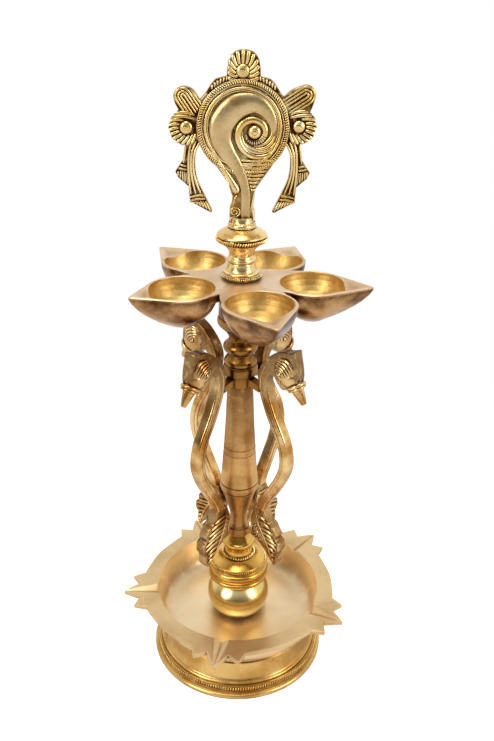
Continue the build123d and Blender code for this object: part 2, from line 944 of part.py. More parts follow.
    # Ridged spire, narrowing to its tip
    with BuildSketch(face):
        pitch = (spire_tip_drop - spire_top_drop) / (spire_count - 1)
        for ridge in range(spire_count):
            part_way = ridge / (spire_count - 1)
            left = spire_left_shares[0] + (spire_left_shares[1] - spire_left_shares[0]) * part_way
            right = spire_right_shares[0] + (spire_right_shares[1] - spire_right_shares[0]) * part_way
            with Locations(((left + right) / 2 * disc_radius, -spire_top_drop - ridge * pitch)):
                Rectangle((right - left) * disc_radius, pitch * spire_ridge_share)
    extrude(amount=spire_relief)
save(conch_emblem, "conch_emblem")

# Swans: a flat cast figure each, with a domed head, a beak in a ring and a scalloped tail
def swan_point(share):
    """Places a (reach share, height share) row on a swan's own plane."""
    return swan_pad_radius + share[0] * swan_reach, swan_foot + share[1] * swan_height


head_centre = swan_point(head_shares)
beak_root = swan_point(beak_shares)
for name, azimuth in swan_azimuths.items():
    plane = radial_plane(azimuth)
    with BuildPart() as swan:
        with BuildSketch(plane):
            with BuildLine():
                Polyline(*[swan_point(share) for share in bar_shares], close=True)
            make_face()
            for shares in (neck_shares, tail_shares):
                with BuildLine():
                    Polyline(*[swan_point(share) for share in shares], close=True)
                make_face()
            with Locations((swan_pad_radius + swan_pad_width / 2, lug_middle)):
                Rectangle(swan_pad_width, lug_thickness)
        extrude(amount=swan_thickness / 2, both=True)
        with BuildSketch(plane):
            with Locations((swan_pad_radius / 2, lug_middle)):
                Rectangle(swan_pad_radius, lug_thickness)
            with Locations((swan_horn_radius / 2, horn_middle)):
                Rectangle(swan_horn_radius, horn_thickness)
        extrude(amount=swan_thickness, both=True, mode=Mode.SUBTRACT)
        # Raised cheeks
        with BuildSketch(plane):
            with Locations(head_centre):
                RegularPolygon(head_radius, side_count=head_sides)
        extrude(amount=head_half_thickness, both=True, taper=head_taper)
        # Ring and beak
        out = polar(1, beak_angle)
        beak_out = plane.x_dir * out[0] + plane.y_dir * out[1]
        beak_plane = Plane(origin=plane.from_local_coords((*beak_root, 0)), x_dir=plane.z_dir, z_dir=beak_out)
        with BuildSketch(beak_plane):
            RegularPolygon(beak_root_radius + beak_ring_margin, side_count=beak_sides)
        extrude(amount=beak_ring_height / 2, both=True)
        with BuildSketch(beak_plane):
            RegularPolygon(beak_root_radius, side_count=beak_sides)
        extrude(amount=beak_length, taper=beak_taper)
    save(swan, name)
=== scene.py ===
import logging
import math
from dataclasses import dataclass, field
from enum import Enum

import bmesh
import bpy
import numpy as np
from mathutils import Matrix, Vector


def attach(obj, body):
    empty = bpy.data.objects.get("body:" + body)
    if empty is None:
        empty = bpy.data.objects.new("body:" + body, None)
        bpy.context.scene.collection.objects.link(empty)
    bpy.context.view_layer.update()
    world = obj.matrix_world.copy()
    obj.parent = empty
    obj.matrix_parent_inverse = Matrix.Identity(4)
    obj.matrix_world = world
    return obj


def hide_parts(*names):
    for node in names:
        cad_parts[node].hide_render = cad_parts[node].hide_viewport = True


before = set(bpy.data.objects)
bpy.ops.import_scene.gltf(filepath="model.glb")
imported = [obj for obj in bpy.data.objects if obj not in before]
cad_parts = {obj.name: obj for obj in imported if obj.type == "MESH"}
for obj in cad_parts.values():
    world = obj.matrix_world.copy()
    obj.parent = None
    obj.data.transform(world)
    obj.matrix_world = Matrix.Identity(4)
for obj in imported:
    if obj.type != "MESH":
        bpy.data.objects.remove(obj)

log = logging.getLogger("aarti_lamp")

Object = bpy.types.Object
Socket = bpy.types.NodeSocket
Point = tuple[float, float]
Triple = tuple[float, float, float]
Row = tuple
Numbers = np.ndarray | float
Inputs = dict[str | int, object]

MM = 0.001
TURN = 2 * math.pi
# Edges flatter than these many degrees are shaded smooth
CAST_SMOOTH = 35.0
PLATE_SMOOTH = 50.0
ROUND_SMOOTH = 60.0
# Points closer than this, in metres, are one
WELD = MM / 1000


# Outlines


def flowing(rows: list[Row], parts: int = 4) -> list[Point]:
    """Smooths an outline through its rows.

    Args:
        rows: (x, y) rows, with a third value where the row is a sharp corner.
        parts: how many pieces each stretch is cut into.

    Returns:
        The points of the smooth outline.
    """
    points: list[Point] = []
    for i in range(len(rows) - 1):
        a, b = Vector(rows[i][:2]), Vector(rows[i + 1][:2])
        before = a if i == 0 or len(rows[i]) > 2 else Vector(rows[i - 1][:2])
        after = b if i + 2 == len(rows) or len(rows[i + 1]) > 2 else Vector(rows[i + 2][:2])
        lean_a, lean_b = (b - before) / 2, (after - a) / 2
        if before == a:
            lean_a = b - a if after == b else (b - a) * 0.8
        if after == b:
            lean_b = b - a if before == a else (b - a) * 0.8
        straight = before == a and after == b
        for step in range(1 if straight else parts):
            t = step / parts
            t2, t3 = t * t, t * t * t
            start = a * (2 * t3 - 3 * t2 + 1) + lean_a * (t3 - 2 * t2 + t)
            spot = start + b * (3 * t2 - 2 * t3) + lean_b * (t3 - t2)
            points.append((spot.x, spot.y))
    points.append(tuple(rows[-1][:2]))
    return points


def polar(radius: float, degrees: float, centre: Point = (0.0, 0.0)) -> Point:
    """The point at a radius and an azimuth round a centre."""
    turned = math.radians(degrees)
    return centre[0] + radius * math.cos(turned), centre[1] + radius * math.sin(turned)


def between(a: Point, b: Point, share: float) -> Point:
    """The point at a share of the way from a to b."""
    return a[0] + (b[0] - a[0]) * share, a[1] + (b[1] - a[1]) * share


def across(a: Point, b: Point) -> Vector:
    """The unit vector square to the run from a to b, on its right."""
    a, b = Vector(a), Vector(b)
    return Vector((b.y - a.y, a.x - b.x)).normalized()


def sides_of(line: list[Point], away: float) -> list[Point]:
    """The line moved sideways, to its right, by a distance."""
    moved = []
    for i, spot in enumerate(line):
        out = across(line[max(i - 1, 0)], line[min(i + 1, len(line) - 1)]) * away
        moved.append((spot[0] + out.x, spot[1] + out.y))
    return moved


def placed(rows: tuple[Row, ...] | list[Row], spot: Point = (0.0, 0.0), hand: int = 1) -> list[Row]:
    """Rows mirrored by the hand, 1 or -1, and moved to a spot, with their corner marks kept."""
    return [(spot[0] + hand * x, spot[1] + z, *mark) for x, z, *mark in rows]


def spiral(centre: Point, radii: Point, turned: Point, count: int) -> list[Point]:
    """Points of a spiral.

    Args:
        centre: its middle.
        radii: the radii that it begins and ends at.
        turned: the angles that it begins and ends at, in degrees.
        count: how many points.

    Returns:
        The points in order.
    """
    shares = [step / (count - 1) for step in range(count)]
    return [polar(*between((radii[0], turned[0]), (radii[1], turned[1]), share), centre) for share in shares]


# Mesh tools


def deselect() -> None:
    """Leaves edit mode and deselects everything."""
    if bpy.context.object and bpy.context.object.mode != "OBJECT":
        bpy.ops.object.mode_set(mode="OBJECT")
    bpy.ops.object.select_all(action="DESELECT")


def pick(obj: Object) -> Object:
    """Makes an object the only selected one and the active one."""
    deselect()
    obj.select_set(True)
    bpy.context.view_layer.objects.active = obj
    return obj


def edit_all() -> None:
    """Opens the active object for editing with all of it selected."""
    bpy.ops.object.mode_set(mode="EDIT")
    bpy.ops.mesh.select_all(action="SELECT")


def turn_out() -> None:
    """Selects the whole of the edited mesh and turns its normals outward."""
    bpy.ops.mesh.select_all(action="SELECT")
    bpy.ops.mesh.normals_make_consistent(inside=False)


def close_edit(name: str, smooth: float = CAST_SMOOTH) -> Object:
    """Leaves edit mode, names the object and shades it.

    Args:
        name: the object's name.
        smooth: edges flatter than this many degrees are shaded smooth.

    Returns:
        The object.
    """
    bpy.ops.object.mode_set(mode="OBJECT")
    obj = bpy.context.object
    obj.name = name
    bpy.ops.object.shade_smooth_by_angle(angle=math.radians(smooth))
    return obj


def settle(obj: Object) -> Object:
    """Puts the object's place, turn and scale into its mesh."""
    pick(obj)
    bpy.ops.object.transform_apply(location=True, rotation=True, scale=True)
    return obj


def apply_modifiers(obj: Object) -> Object:
    """Applies every modifier of the object, in order."""
    pick(obj)
    for modifier in list(obj.modifiers):
        bpy.ops.object.modifier_apply(modifier=modifier.name)
    return obj


def join(name: str, objects: list[Object]) -> Object:
    """Joins finished shapes into one piece.

    Args:
        name: the piece's name.
        objects: what it is made of.

    Returns:
        The joined piece.
    """
    piece = pick(objects[0])
    for obj in objects[1:]:
        obj.select_set(True)
    if len(objects) > 1:
        bpy.ops.object.join()
    piece.name = name
    return piece


def copy_of(obj: Object, name: str) -> Object:
    """A copy with a mesh of its own."""
    pick(obj)
    bpy.ops.object.duplicate()
    twin = bpy.context.object
    twin.name = name
    return twin


def bevelled(obj: Object, width: float, segments: int = 3, angle: float = 30.0) -> Object:
    """Rounds the edges that are sharper than an angle.

    Args:
        obj: the object.
        width: the rounding's width in millimetres.
        segments: how many faces across.
        angle: the angle in degrees.

    Returns:
        The same object.
    """
    modifier = obj.modifiers.new("round", "BEVEL")
    modifier.width = width * MM
    modifier.segments = segments
    modifier.limit_method = "ANGLE"
    modifier.angle_limit = math.radians(angle)
    modifier.use_clamp_overlap = True
    return apply_modifiers(obj)


def trace(outline: list[Point], level: float = 0.0) -> None:
    """Starts a mesh and draws a line of edges through (x, z) points at one Y, in millimetres."""
    deselect()
    bpy.ops.mesh.primitive_plane_add(size=MM)
    edit_all()
    bpy.ops.mesh.merge(type="CENTER")
    bpy.ops.transform.translate(value=(outline[0][0] * MM, level * MM, outline[0][1] * MM))
    for a, b in zip(outline, outline[1:]):
        run = ((b[0] - a[0]) * MM, 0, (b[1] - a[1]) * MM)
        bpy.ops.mesh.extrude_vertices_move(TRANSFORM_OT_translate={"value": run})
    bpy.ops.mesh.select_all(action="SELECT")


def turn(name: str, rows: list[Row], steps: int = 128) -> Object:
    """Turns an outline about the upright axis.

    Args:
        name: the object's name.
        rows: (radius, height) rows in millimetres, with a third value at a sharp corner.
        steps: faces round the axis.

    Returns:
        The turned object.
    """
    trace(flowing(rows))
    bpy.ops.mesh.spin(steps=steps, angle=TURN, center=(0, 0, 0), axis=(0, 0, 1))
    bpy.ops.mesh.select_all(action="SELECT")
    bpy.ops.mesh.remove_doubles(threshold=2 * WELD)
    turn_out()
    return close_edit(name)


def plate(name: str, outline: list[Point], thickness: float, rounding: float) -> Object:
    """A flat casting that stands in the XZ plane, with its middle at Y 0.

    Args:
        name: the object's name.
        outline: (x, z) points in millimetres, in order.
        thickness: its thickness along Y.
        rounding: how far its edges are rounded.

    Returns:
        The plate.
    """
    trace(outline, -thickness / 2)
    bpy.ops.mesh.edge_face_add()
    bpy.ops.mesh.select_all(action="SELECT")
    bpy.ops.mesh.extrude_region_move(TRANSFORM_OT_translate={"value": (0, thickness * MM, 0)})
    turn_out()
    obj = bevelled(close_edit(name), rounding)
    bpy.ops.object.shade_smooth_by_angle(angle=math.radians(PLATE_SMOOTH))
    return obj


def move_ring(mesh: bpy.types.Mesh, last: np.ndarray, target: np.ndarray) -> None:
    """Moves each selected point of an edited mesh from its place in one ring to that in the next."""
    edited = bmesh.from_edit_mesh(mesh)
    for vert in edited.verts:
        if vert.select:
            gaps = np.abs(last - np.array(vert.co)).sum(axis=1)
            vert.co = target[int(gaps.argmin())]
    bmesh.update_edit_mesh(mesh)


def skin(name: str, rings: list[np.ndarray], smooth: float) -> Object:
    """Draws a closed wall over rings with the same number of points.

    Args:
        name: the object's name.
        rings: arrays of (x, y, z) points in millimetres, from one end to the other.
        smooth: the smooth shading's angle.

    Returns:
        The object, with both ends closed.
    """
    deselect()
    bpy.ops.mesh.primitive_circle_add(vertices=len(rings[0]), radius=1.0, fill_type="NOTHING")
    bpy.ops.object.mode_set(mode="EDIT")
    data = bpy.context.object.data
    mesh = bmesh.from_edit_mesh(data)
    for vert, spot in zip(mesh.verts, rings[0] * MM):
        vert.co = spot
    bmesh.update_edit_mesh(data)
    bpy.ops.mesh.select_all(action="SELECT")
    bpy.ops.mesh.edge_face_add()
    bpy.ops.mesh.select_mode(type="EDGE")
    bpy.ops.mesh.select_all(action="SELECT")
    for last, ring in zip(rings, rings[1:]):
        bpy.ops.mesh.extrude_edges_move()
        move_ring(data, last * MM, ring * MM)
    bpy.ops.mesh.edge_face_add()
    bpy.ops.mesh.select_mode(type="VERT")
    bpy.ops.mesh.select_all(action="SELECT")
    bpy.ops.mesh.remove_doubles(threshold=WELD)
    turn_out()
    return close_edit(name, smooth)


def ball(segments: int, rings: int, sizes: Triple) -> None:
    """Starts a mesh with a ball of three half sizes in millimetres, open for editing."""
    deselect()
    bpy.ops.mesh.primitive_uv_sphere_add(segments=segments, ring_count=rings, radius=1.0)
    edit_all()
    bpy.ops.transform.resize(value=tuple(size * MM for size in sizes))


def knob(name: str, centre: Triple, sizes: Triple) -> Object:
    """A domed boss.

    Args:
        name: the object's name.
        centre: its middle, in millimetres.
        sizes: its half sizes.

    Returns:
        The boss.
    """
    ball(24, 12, sizes)
    bpy.ops.transform.translate(value=tuple(spot * MM for spot in centre))
    return close_edit(name, ROUND_SMOOTH)


def bead_ring(name: str, radius: float, height: float, bead: Triple, count: int, tilt: float) -> Object:
    """A ring of slanted beads round the upright axis, as a milled rope ring has.

    Args:
        name: the object's name.
        radius: the radius of the beads' middles.
        height: their height.
        bead: a bead's half sizes outward, along the ring and upward.
        count: how many beads.
        tilt: how far each leans, in degrees.

    Returns:
        The ring.
    """
    ball(8, 6, bead)
    bpy.ops.transform.rotate(value=math.radians(tilt), orient_axis="X", center_override=(0, 0, 0))
    bpy.ops.transform.translate(value=(radius * MM, 0, height * MM))
    ring = close_edit(name, ROUND_SMOOTH)
    deselect()
    bpy.ops.object.empty_add(rotation=(0, 0, TURN / count))
    pivot = bpy.context.object
    array = ring.modifiers.new("round", "ARRAY")
    array.count = count
    array.use_relative_offset = False
    array.use_object_offset = True
    array.offset_object = pivot
    apply_modifiers(ring)
    bpy.data.objects.remove(pivot)
    return ring


def points_of(mesh: bpy.types.Mesh, what: str = "co") -> np.ndarray:
    """The places of a mesh's points, or their normals, as rows of three."""
    values = np.zeros(len(mesh.vertices) * 3, np.float32)
    mesh.vertices.foreach_get(what, values)
    return values.reshape(-1, 3)


class Relief:
    """Ridges drawn on the face of a flat casting in the XZ plane, then made in one go."""

    def __init__(self, name: str, face: float, flat: float, sides: int) -> None:
        """Starts an empty drawing.

        Args:
            name: the object's name.
            face: the Y of the face, in millimetres.
            flat: how high a ridge stands, as a share of its half width.
            sides: how round a ridge is.
        """
        self.name = name
        self.face = face
        self.flat = flat
        self.sides = sides
        self.ridges: list[tuple[list[Point], list[float]]] = []

    def ridge(self, points: list[Point], width: float, ends: float) -> None:
        """Adds a ridge through points, narrowed at its ends.

        Args:
            points: (x, z) points in millimetres.
            width: its half width.
            ends: the share of the width that its ends keep.
        """
        if len(points) > 2:
            smooth = flowing(points, 5)
        else:
            smooth = [between(*points, step / 4) for step in range(5)]
        last = len(smooth) - 1
        shares = [min(1.0, 4 * min(i, last - i) / last) for i in range(last + 1)]
        self.ridges.append((smooth, [width * (ends + (1 - ends) * share) for share in shares]))

    def swell(self, points: list[Point], widths: list[float]) -> None:
        """Adds a ridge whose half width runs through the given ones."""
        rows = flowing(points, 6)
        at = np.linspace(0, len(widths) - 1, len(rows))
        self.ridges.append((rows, list(np.interp(at, range(len(widths)), widths))))

    def loop(self, centre: Point, radius: float, width: float) -> None:
        """Adds a ring shaped ridge."""
        points = flowing([polar(radius, 22.5 * i, centre) for i in range(17)], 2)
        self.ridges.append((points, [width] * len(points)))

    def make(self, dome: tuple[float, ...] | None = None) -> Object:
        """Makes the ridges as one object.

        Args:
            dome: x, z, and the half sizes along X, Y and Z of a knob that the ridges lie on.

        Returns:
            The ridges.
        """
        deselect()
        bpy.ops.curve.primitive_nurbs_path_add()
        curve = bpy.context.object.data
        curve.splines.clear()
        curve.dimensions = "3D"
        for points, widths in self.ridges:
            spline = curve.splines.new("POLY")
            spline.points.add(len(points) - 1)
            for node, (x, z), width in zip(spline.points, points, widths):
                node.co = (x * MM, self.face * MM, z * MM, 1)
                node.radius = width
        curve.bevel_depth = MM
        curve.bevel_resolution = self.sides
        curve.use_fill_caps = True
        bpy.ops.object.convert(target="MESH")
        edit_all()
        bpy.ops.transform.resize(value=(1, self.flat, 1), center_override=(0, self.face * MM, 0))
        bpy.ops.mesh.normals_make_consistent(inside=False)
        made = close_edit(self.name, ROUND_SMOOTH)
        if dome:
            self.lay_on(made.data, dome)
        return made

    def lay_on(self, mesh: bpy.types.Mesh, dome: tuple[float, ...]) -> None:
        """Moves the ridges from their flat face onto a dome."""
        spots = points_of(mesh)
        x, z, wide, deep, tall = (value * MM for value in dome)
        level = 1 - ((spots[:, 0] - x) / wide) ** 2 - ((spots[:, 2] - z) / tall) ** 2
        rise = deep * np.sqrt(np.clip(level, 0.05, 1.0))
        spots[:, 1] += math.copysign(1.0, self.face) * rise - self.face * MM
        mesh.vertices.foreach_set("co", spots.ravel())
        mesh.update()


# Patina and painted shade

# How far along Y a face's normal points, from what counts as a side to what counts as the front or back
SIDE_TO_FACE = (0.38, 0.72)


def write_patina_and_shade(obj: Object, depth: np.ndarray) -> Object:
    """Writes how deep the patina and the painted shade lie on each point, and returns the object."""
    attributes = obj.data.attributes
    layer = attributes.get("recess") or attributes.new("recess", "FLOAT", "POINT")
    layer.data.foreach_set("value", np.clip(depth, 0, 1).astype(np.float32))
    return obj


def add_patina_and_shade(obj: Object, extra: np.ndarray) -> None:
    """Adds to the patina and the painted shade that each point has."""
    depth = np.zeros(len(extra), np.float32)
    obj.data.attributes["recess"].data.foreach_get("value", depth)
    write_patina_and_shade(obj, depth + extra)


def stain(obj: Object, amount: float = 0.0, hollows: float = 1.0) -> Object:
    """Writes how deep the patina lies on each point, from the mesh's own hollows.

    Args:
        obj: the object.
        amount: patina everywhere.
        hollows: how strongly the hollows hold patina.

    Returns:
        The same object.
    """
    mesh = obj.data
    spots, normals = points_of(mesh), points_of(mesh, "normal")
    count = len(spots)
    pairs = np.zeros(len(mesh.edges) * 2, np.int32)
    mesh.edges.foreach_get("vertices", pairs)
    a, b = pairs.reshape(-1, 2).T
    run = spots[b] - spots[a]
    run /= np.maximum(np.linalg.norm(run, axis=1, keepdims=True), 1e-9)

    def gathered(at_a: Numbers, at_b: Numbers) -> np.ndarray:
        """The sum of what the edges bring to each point."""
        total = np.zeros(count)
        np.add.at(total, a, at_a)
        np.add.at(total, b, at_b)
        return total

    touch = np.maximum(gathered(1, 1), 1)
    hollow = gathered((run * normals[a]).sum(axis=1), -(run * normals[b]).sum(axis=1)) / touch
    for _ in range(2):
        hollow = (hollow + gathered(hollow[b], hollow[a]) / touch) / 2
    return write_patina_and_shade(obj, amount + hollows * 4 * np.maximum(hollow, 0))


def stain_sides(obj: Object, top: float = 0.0, side: float = 1.0) -> Object:
    """Writes patina by which way each point faces: little on what faces front or back, much on the sides.

    Args:
        obj: the object, whose relief stands along Y.
        top: patina where it faces front or back.
        side: patina where it faces sideways.

    Returns:
        The same object.
    """
    facing = np.abs(points_of(obj.data, "normal")[:, 1])
    share = np.interp(facing, SIDE_TO_FACE, (0, 1))
    return write_patina_and_shade(obj, side + (top - side) * share)


# Finishes


def tint(code: str) -> tuple[float, float, float, float]:
    """A colour from its six sign screen code, made linear."""
    values = [int(code[i:i + 2], 16) / 255 for i in (0, 2, 4)]
    return (*[v / 12.92 if v <= 0.04045 else ((v + 0.055) / 1.055) ** 2.4 for v in values], 1.0)


class Graph:
    """The shader nodes of one material or world."""

    def __init__(self, owner: bpy.types.Material | bpy.types.World) -> None:
        """Opens the owner's nodes."""
        owner.use_nodes = True
        self.nodes = owner.node_tree.nodes
        self.links = owner.node_tree.links

    def feed(self, socket: Socket, value: object) -> None:
        """Links a socket to another node's output, or sets its value."""
        if isinstance(value, Socket):
            self.links.new(value, socket)
        else:
            socket.default_value = value

    def node(self, kind: str, inputs: Inputs, **settings: object) -> bpy.types.Node:
        """Adds a node.

        Args:
            kind: its type, without the common beginning.
            inputs: what is fed to its inputs, by name or number.
            settings: its own settings.

        Returns:
            The node.
        """
        node = self.nodes.new("ShaderNode" + kind)
        for name, value in settings.items():
            setattr(node, name, value)
        for name, value in inputs.items():
            self.feed(node.inputs[name], value)
        return node

    def add(self, kind: str, inputs: Inputs, output: str | int = 0, **settings: object) -> Socket:
        """Adds a node and returns the output wanted."""
        return self.node(kind, inputs, **settings).outputs[output]

    def math(self, kind: str, one: Socket, other: Socket | float) -> Socket:
        """The result of a math node, kept between 0 and 1."""
        return self.add("Math", {0: one, 1: other}, operation=kind, use_clamp=True)

    def noise(self, scale: float, spot: Socket, detail: float = 2.0) -> Socket:
        """A noise pattern's value."""
        return self.add("TexNoise", {"Scale": scale, "Detail": detail, "Vector": spot})

    def rise(self, value: Socket, reach: Point) -> Socket:
        """A value that goes smoothly from 0 at one end of its reach to 1 at the other."""
        ends = {"Value": value, "From Min": reach[0], "From Max": reach[1]}
        return self.add("MapRange", ends, interpolation_type="SMOOTHSTEP")

    def span(self, value: Socket, low: float, high: float) -> Socket:
        """A value between 0 and 1 stretched to run from low to high."""
        return self.add("MapRange", {"Value": value, "To Min": low, "To Max": high})

    def blend(self, share: Socket, one: object, other: object) -> Socket:
        """A mix of two colours by a share."""
        return self.add("Mix", {"Factor": share, 6: one, 7: other}, 2, data_type="RGBA")

    def place(self, kind: str = "Object") -> Socket:
        """The coordinates of one kind."""
        return self.add("TexCoord", {}, kind)


class Grain(Enum):
    """How the metal's surface was worked."""

    TURNED = "turned"
    CAST = "cast"
    POLISHED = "polished"
    SATIN = "satin"


@dataclass(frozen=True)
class Brass:
    """A brass finish: its colours, polish and grain."""

    name: str
    bright: str
    deep: str
    patina: str
    grain: Grain
    roughness: float
    spread: float
    cloud: float
    hold: float
    reach: float
    bump: float
    fleck: float
    cloud_edge: Point = (0.38, 0.66)
    speck_edge: Point = (0.55, 0.75)
    shade_edge: Point = (0.95, 0.35)
    patch_edge: Point = (0.2, 0.75)

    def patina_with_shade(self, graph: Graph, place: Socket) -> Socket:
        """How thick the patina and the painted shade are: from ambient occlusion, which paints shade where a
        hollow is closed in, and from the mesh's own record of patina and painted shade.
        """
        # Ambient occlusion painted into the colour as shade: darker in hollows, under things and at joints
        hollow = graph.add("AmbientOcclusion", {"Distance": self.reach}, "AO", samples=8)
        shade = graph.math("MULTIPLY", graph.rise(hollow, self.shade_edge), 0.9 * self.hold)
        layer = graph.add("Attribute", {}, "Fac", attribute_name="recess")
        patina_with_shade = graph.math("ADD", shade, graph.math("MULTIPLY", layer, self.hold))
        patchy = graph.rise(graph.noise(self.cloud * 5, place, 4.0), self.patch_edge)
        return graph.math("MULTIPLY", patina_with_shade, graph.math("ADD", patchy, 0.45))

    def grain_line(self, graph: Graph, place: Socket) -> Socket:
        """Coordinates whose noise runs in rings round the axis, as a lathe leaves them."""
        split = graph.node("SeparateXYZ", {0: place}).outputs
        flat = graph.add("CombineXYZ", {axis: split[axis] for axis in ("X", "Y")})
        radius = graph.add("VectorMath", {0: flat}, "Value", operation="LENGTH")
        return graph.add("CombineXYZ", {"X": radius, "Z": split["Z"]})

    def fill(self, graph: Graph) -> None:
        """Wires the metal: clouded tones, specks, patina with painted shade, uneven polish and fine bumps."""
        shader = graph.nodes["Principled BSDF"].inputs
        place = graph.place()
        clouds = graph.rise(graph.noise(self.cloud, place, 6.0), self.cloud_edge)
        specks = graph.rise(graph.noise(self.cloud * 14, place, 3.0), self.speck_edge)
        colour = graph.blend(clouds, tint(self.bright), tint(self.deep))
        colour = graph.blend(graph.math("MULTIPLY", specks, self.fleck), colour, tint(self.patina))
        patina_with_shade = self.patina_with_shade(graph, place)
        uneven = graph.noise(self.cloud * 3, place, 5.0)
        wear = graph.span(uneven, self.roughness, self.roughness + self.spread)
        cast = self.grain is Grain.CAST
        fine = graph.noise(900.0 if cast else 2600.0, place if cast else self.grain_line(graph, place), 4.0)
        pits = graph.math("MULTIPLY", graph.noise(self.cloud * 9, place, 4.0), 0.5)
        bumps = {
            "Strength": self.bump, "Distance": 0.0003 if cast else 0.00012,
            "Height": graph.math("ADD", graph.math("MULTIPLY", fine, 0.5), pits),
        }
        graph.feed(shader["Metallic"], 1.0)
        # The base colour darkens towards the patina colour by the patina and the painted shade
        graph.feed(shader["Base Color"], graph.blend(patina_with_shade, colour, tint(self.patina)))
        dull = graph.add("Math", {0: patina_with_shade, 1: 0.25, 2: wear}, operation="MULTIPLY_ADD")
        graph.feed(shader["Roughness"], dull)
        graph.feed(shader["Normal"], graph.add("Bump", bumps))


@dataclass(frozen=True)
class Plain:
    """A finish of two tones in a fine grain: plated steel, or the brown fibre of the soft washers."""

    name: str
    light: str
    dark: str
    metal: float
    grain: float
    roughness: Point

    def fill(self, graph: Graph) -> None:
        """Wires the two tones and the polish to one noise."""
        shader = graph.nodes["Principled BSDF"].inputs
        grain = graph.noise(self.grain, graph.place())
        graph.feed(shader["Metallic"], self.metal)
        graph.feed(shader["Base Color"], graph.blend(grain, tint(self.light), tint(self.dark)))
        graph.feed(shader["Roughness"], graph.span(grain, *self.roughness))


# Name, bright, deep and patina colours, grain, then roughness, its spread, cloud size, how much patina and
# painted shade is held, how far the painted shade of hollows reaches, bump and fleck
FOOT = Brass(
    "foot_finish", "e8c078", "c2924a", "5c360f", Grain.TURNED, 0.2, 0.14, 45.0, 0.65, 0.003, 0.35, 0.2,
)
TRAY = Brass(
    "tray_finish", "f8e2ba", "ebcf9e", "86602c", Grain.SATIN, 0.32, 0.12, 30.0, 0.7, 0.006, 0.15, 0.08,
)
LEDGE = Brass(
    "ledge_finish", "e4c694", "cfae7c", "7a5424", Grain.SATIN, 0.34, 0.14, 35.0, 0.8, 0.004, 0.25, 0.15,
)
MIRROR = Brass(
    "polished_finish", "f4da98", "dcbc6c", "6b4a1c", Grain.POLISHED, 0.2, 0.1, 60.0, 0.5, 0.002, 0.08, 0.08,
)
TURNED = Brass(
    "bell_finish", "e8bc62", "c8943e", "5f350e", Grain.TURNED, 0.2, 0.12, 60.0, 0.7, 0.0025, 0.25, 0.15,
)
SHAFT = Brass(
    "shaft_finish", "deb070", "b07c42", "66361a", Grain.TURNED, 0.38, 0.14, 60.0, 0.9, 0.004, 0.35, 0.3,
)
DARK = Brass(
    "capital_finish", "a9783a", "7c5226", "301a0a", Grain.TURNED, 0.18, 0.14, 60.0, 1.0, 0.005, 0.3, 0.3,
)
BOWL = Brass(
    "bowl_finish", "dcba72", "c09a56", "7a5418", Grain.CAST, 0.34, 0.14, 120.0, 0.6, 0.008, 0.6, 0.2,
)
CUP = Brass("cup_finish", "d2a26c", "6a4222", "341808", Grain.CAST, 0.15, 0.16, 75.0, 0.9, 0.008, 0.45, 0.5)
# The rope rings' beads: paler, with little patina and painted shade held, a painted highlight for the lamps'
# glints on them
BRIGHT_PAINTED_BEADS = Brass(
    "rope_glint_finish", "fadc94", "e8bc62", "7a4a18", Grain.POLISHED, 0.16, 0.08, 60.0, 0.2, 0.001, 0.1, 0.05,
)
RIM = Brass(
    "rim_finish", "e4caa8", "d2b28a", "8a6436", Grain.SATIN, 0.36, 0.14, 45.0, 0.6, 0.004, 0.25, 0.15,
)
SWAN = Brass(
    "swan_finish", "f4ce90", "b8823f", "4c2608", Grain.CAST, 0.13, 0.14, 70.0, 1.0, 0.006, 0.3, 0.35,
)
CARVED = Brass(
    "carved_finish", "f4d89c", "dfb568", "3f2009", Grain.CAST, 0.18, 0.12, 60.0, 1.0, 0.0016, 0.25, 0.12,
)
CONCH = Brass(
    "conch_finish", "d8ba88", "c0a06a", "54330f", Grain.CAST, 0.26, 0.14, 70.0, 0.9, 0.002, 0.35, 0.15,
)
STEEL = Plain("bright_steel", "b9bbbc", "8d9092", 1.0, 500.0, (0.25, 0.45))
FIBRE = Plain("brown_fibre", "6a4a30", "3f2a1a", 0.0, 1500.0, (0.8, 0.8))


def material_of(finish: Brass | Plain) -> bpy.types.Material:
    """The finish's material, made when it is first asked for."""
    mat = bpy.data.materials.get(finish.name)
    if mat is None:
        mat = bpy.data.materials.new(finish.name)
        finish.fill(Graph(mat))
    return mat


def dress(obj: Object, *finishes: Brass | Plain) -> Object:
    """Gives an object its materials, in slot order, and returns it."""
    obj.data.materials.clear()
    for finish in finishes:
        obj.data.materials.append(material_of(finish))
    return obj


def fit(obj: Object, body: str, node: str) -> None:
    """Ties a finished piece to its body and the node that it stands for."""
    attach(obj, body)
    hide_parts(node)
    log.info("%s: %d faces", obj.name, len(obj.data.polygons))


# Turned pieces


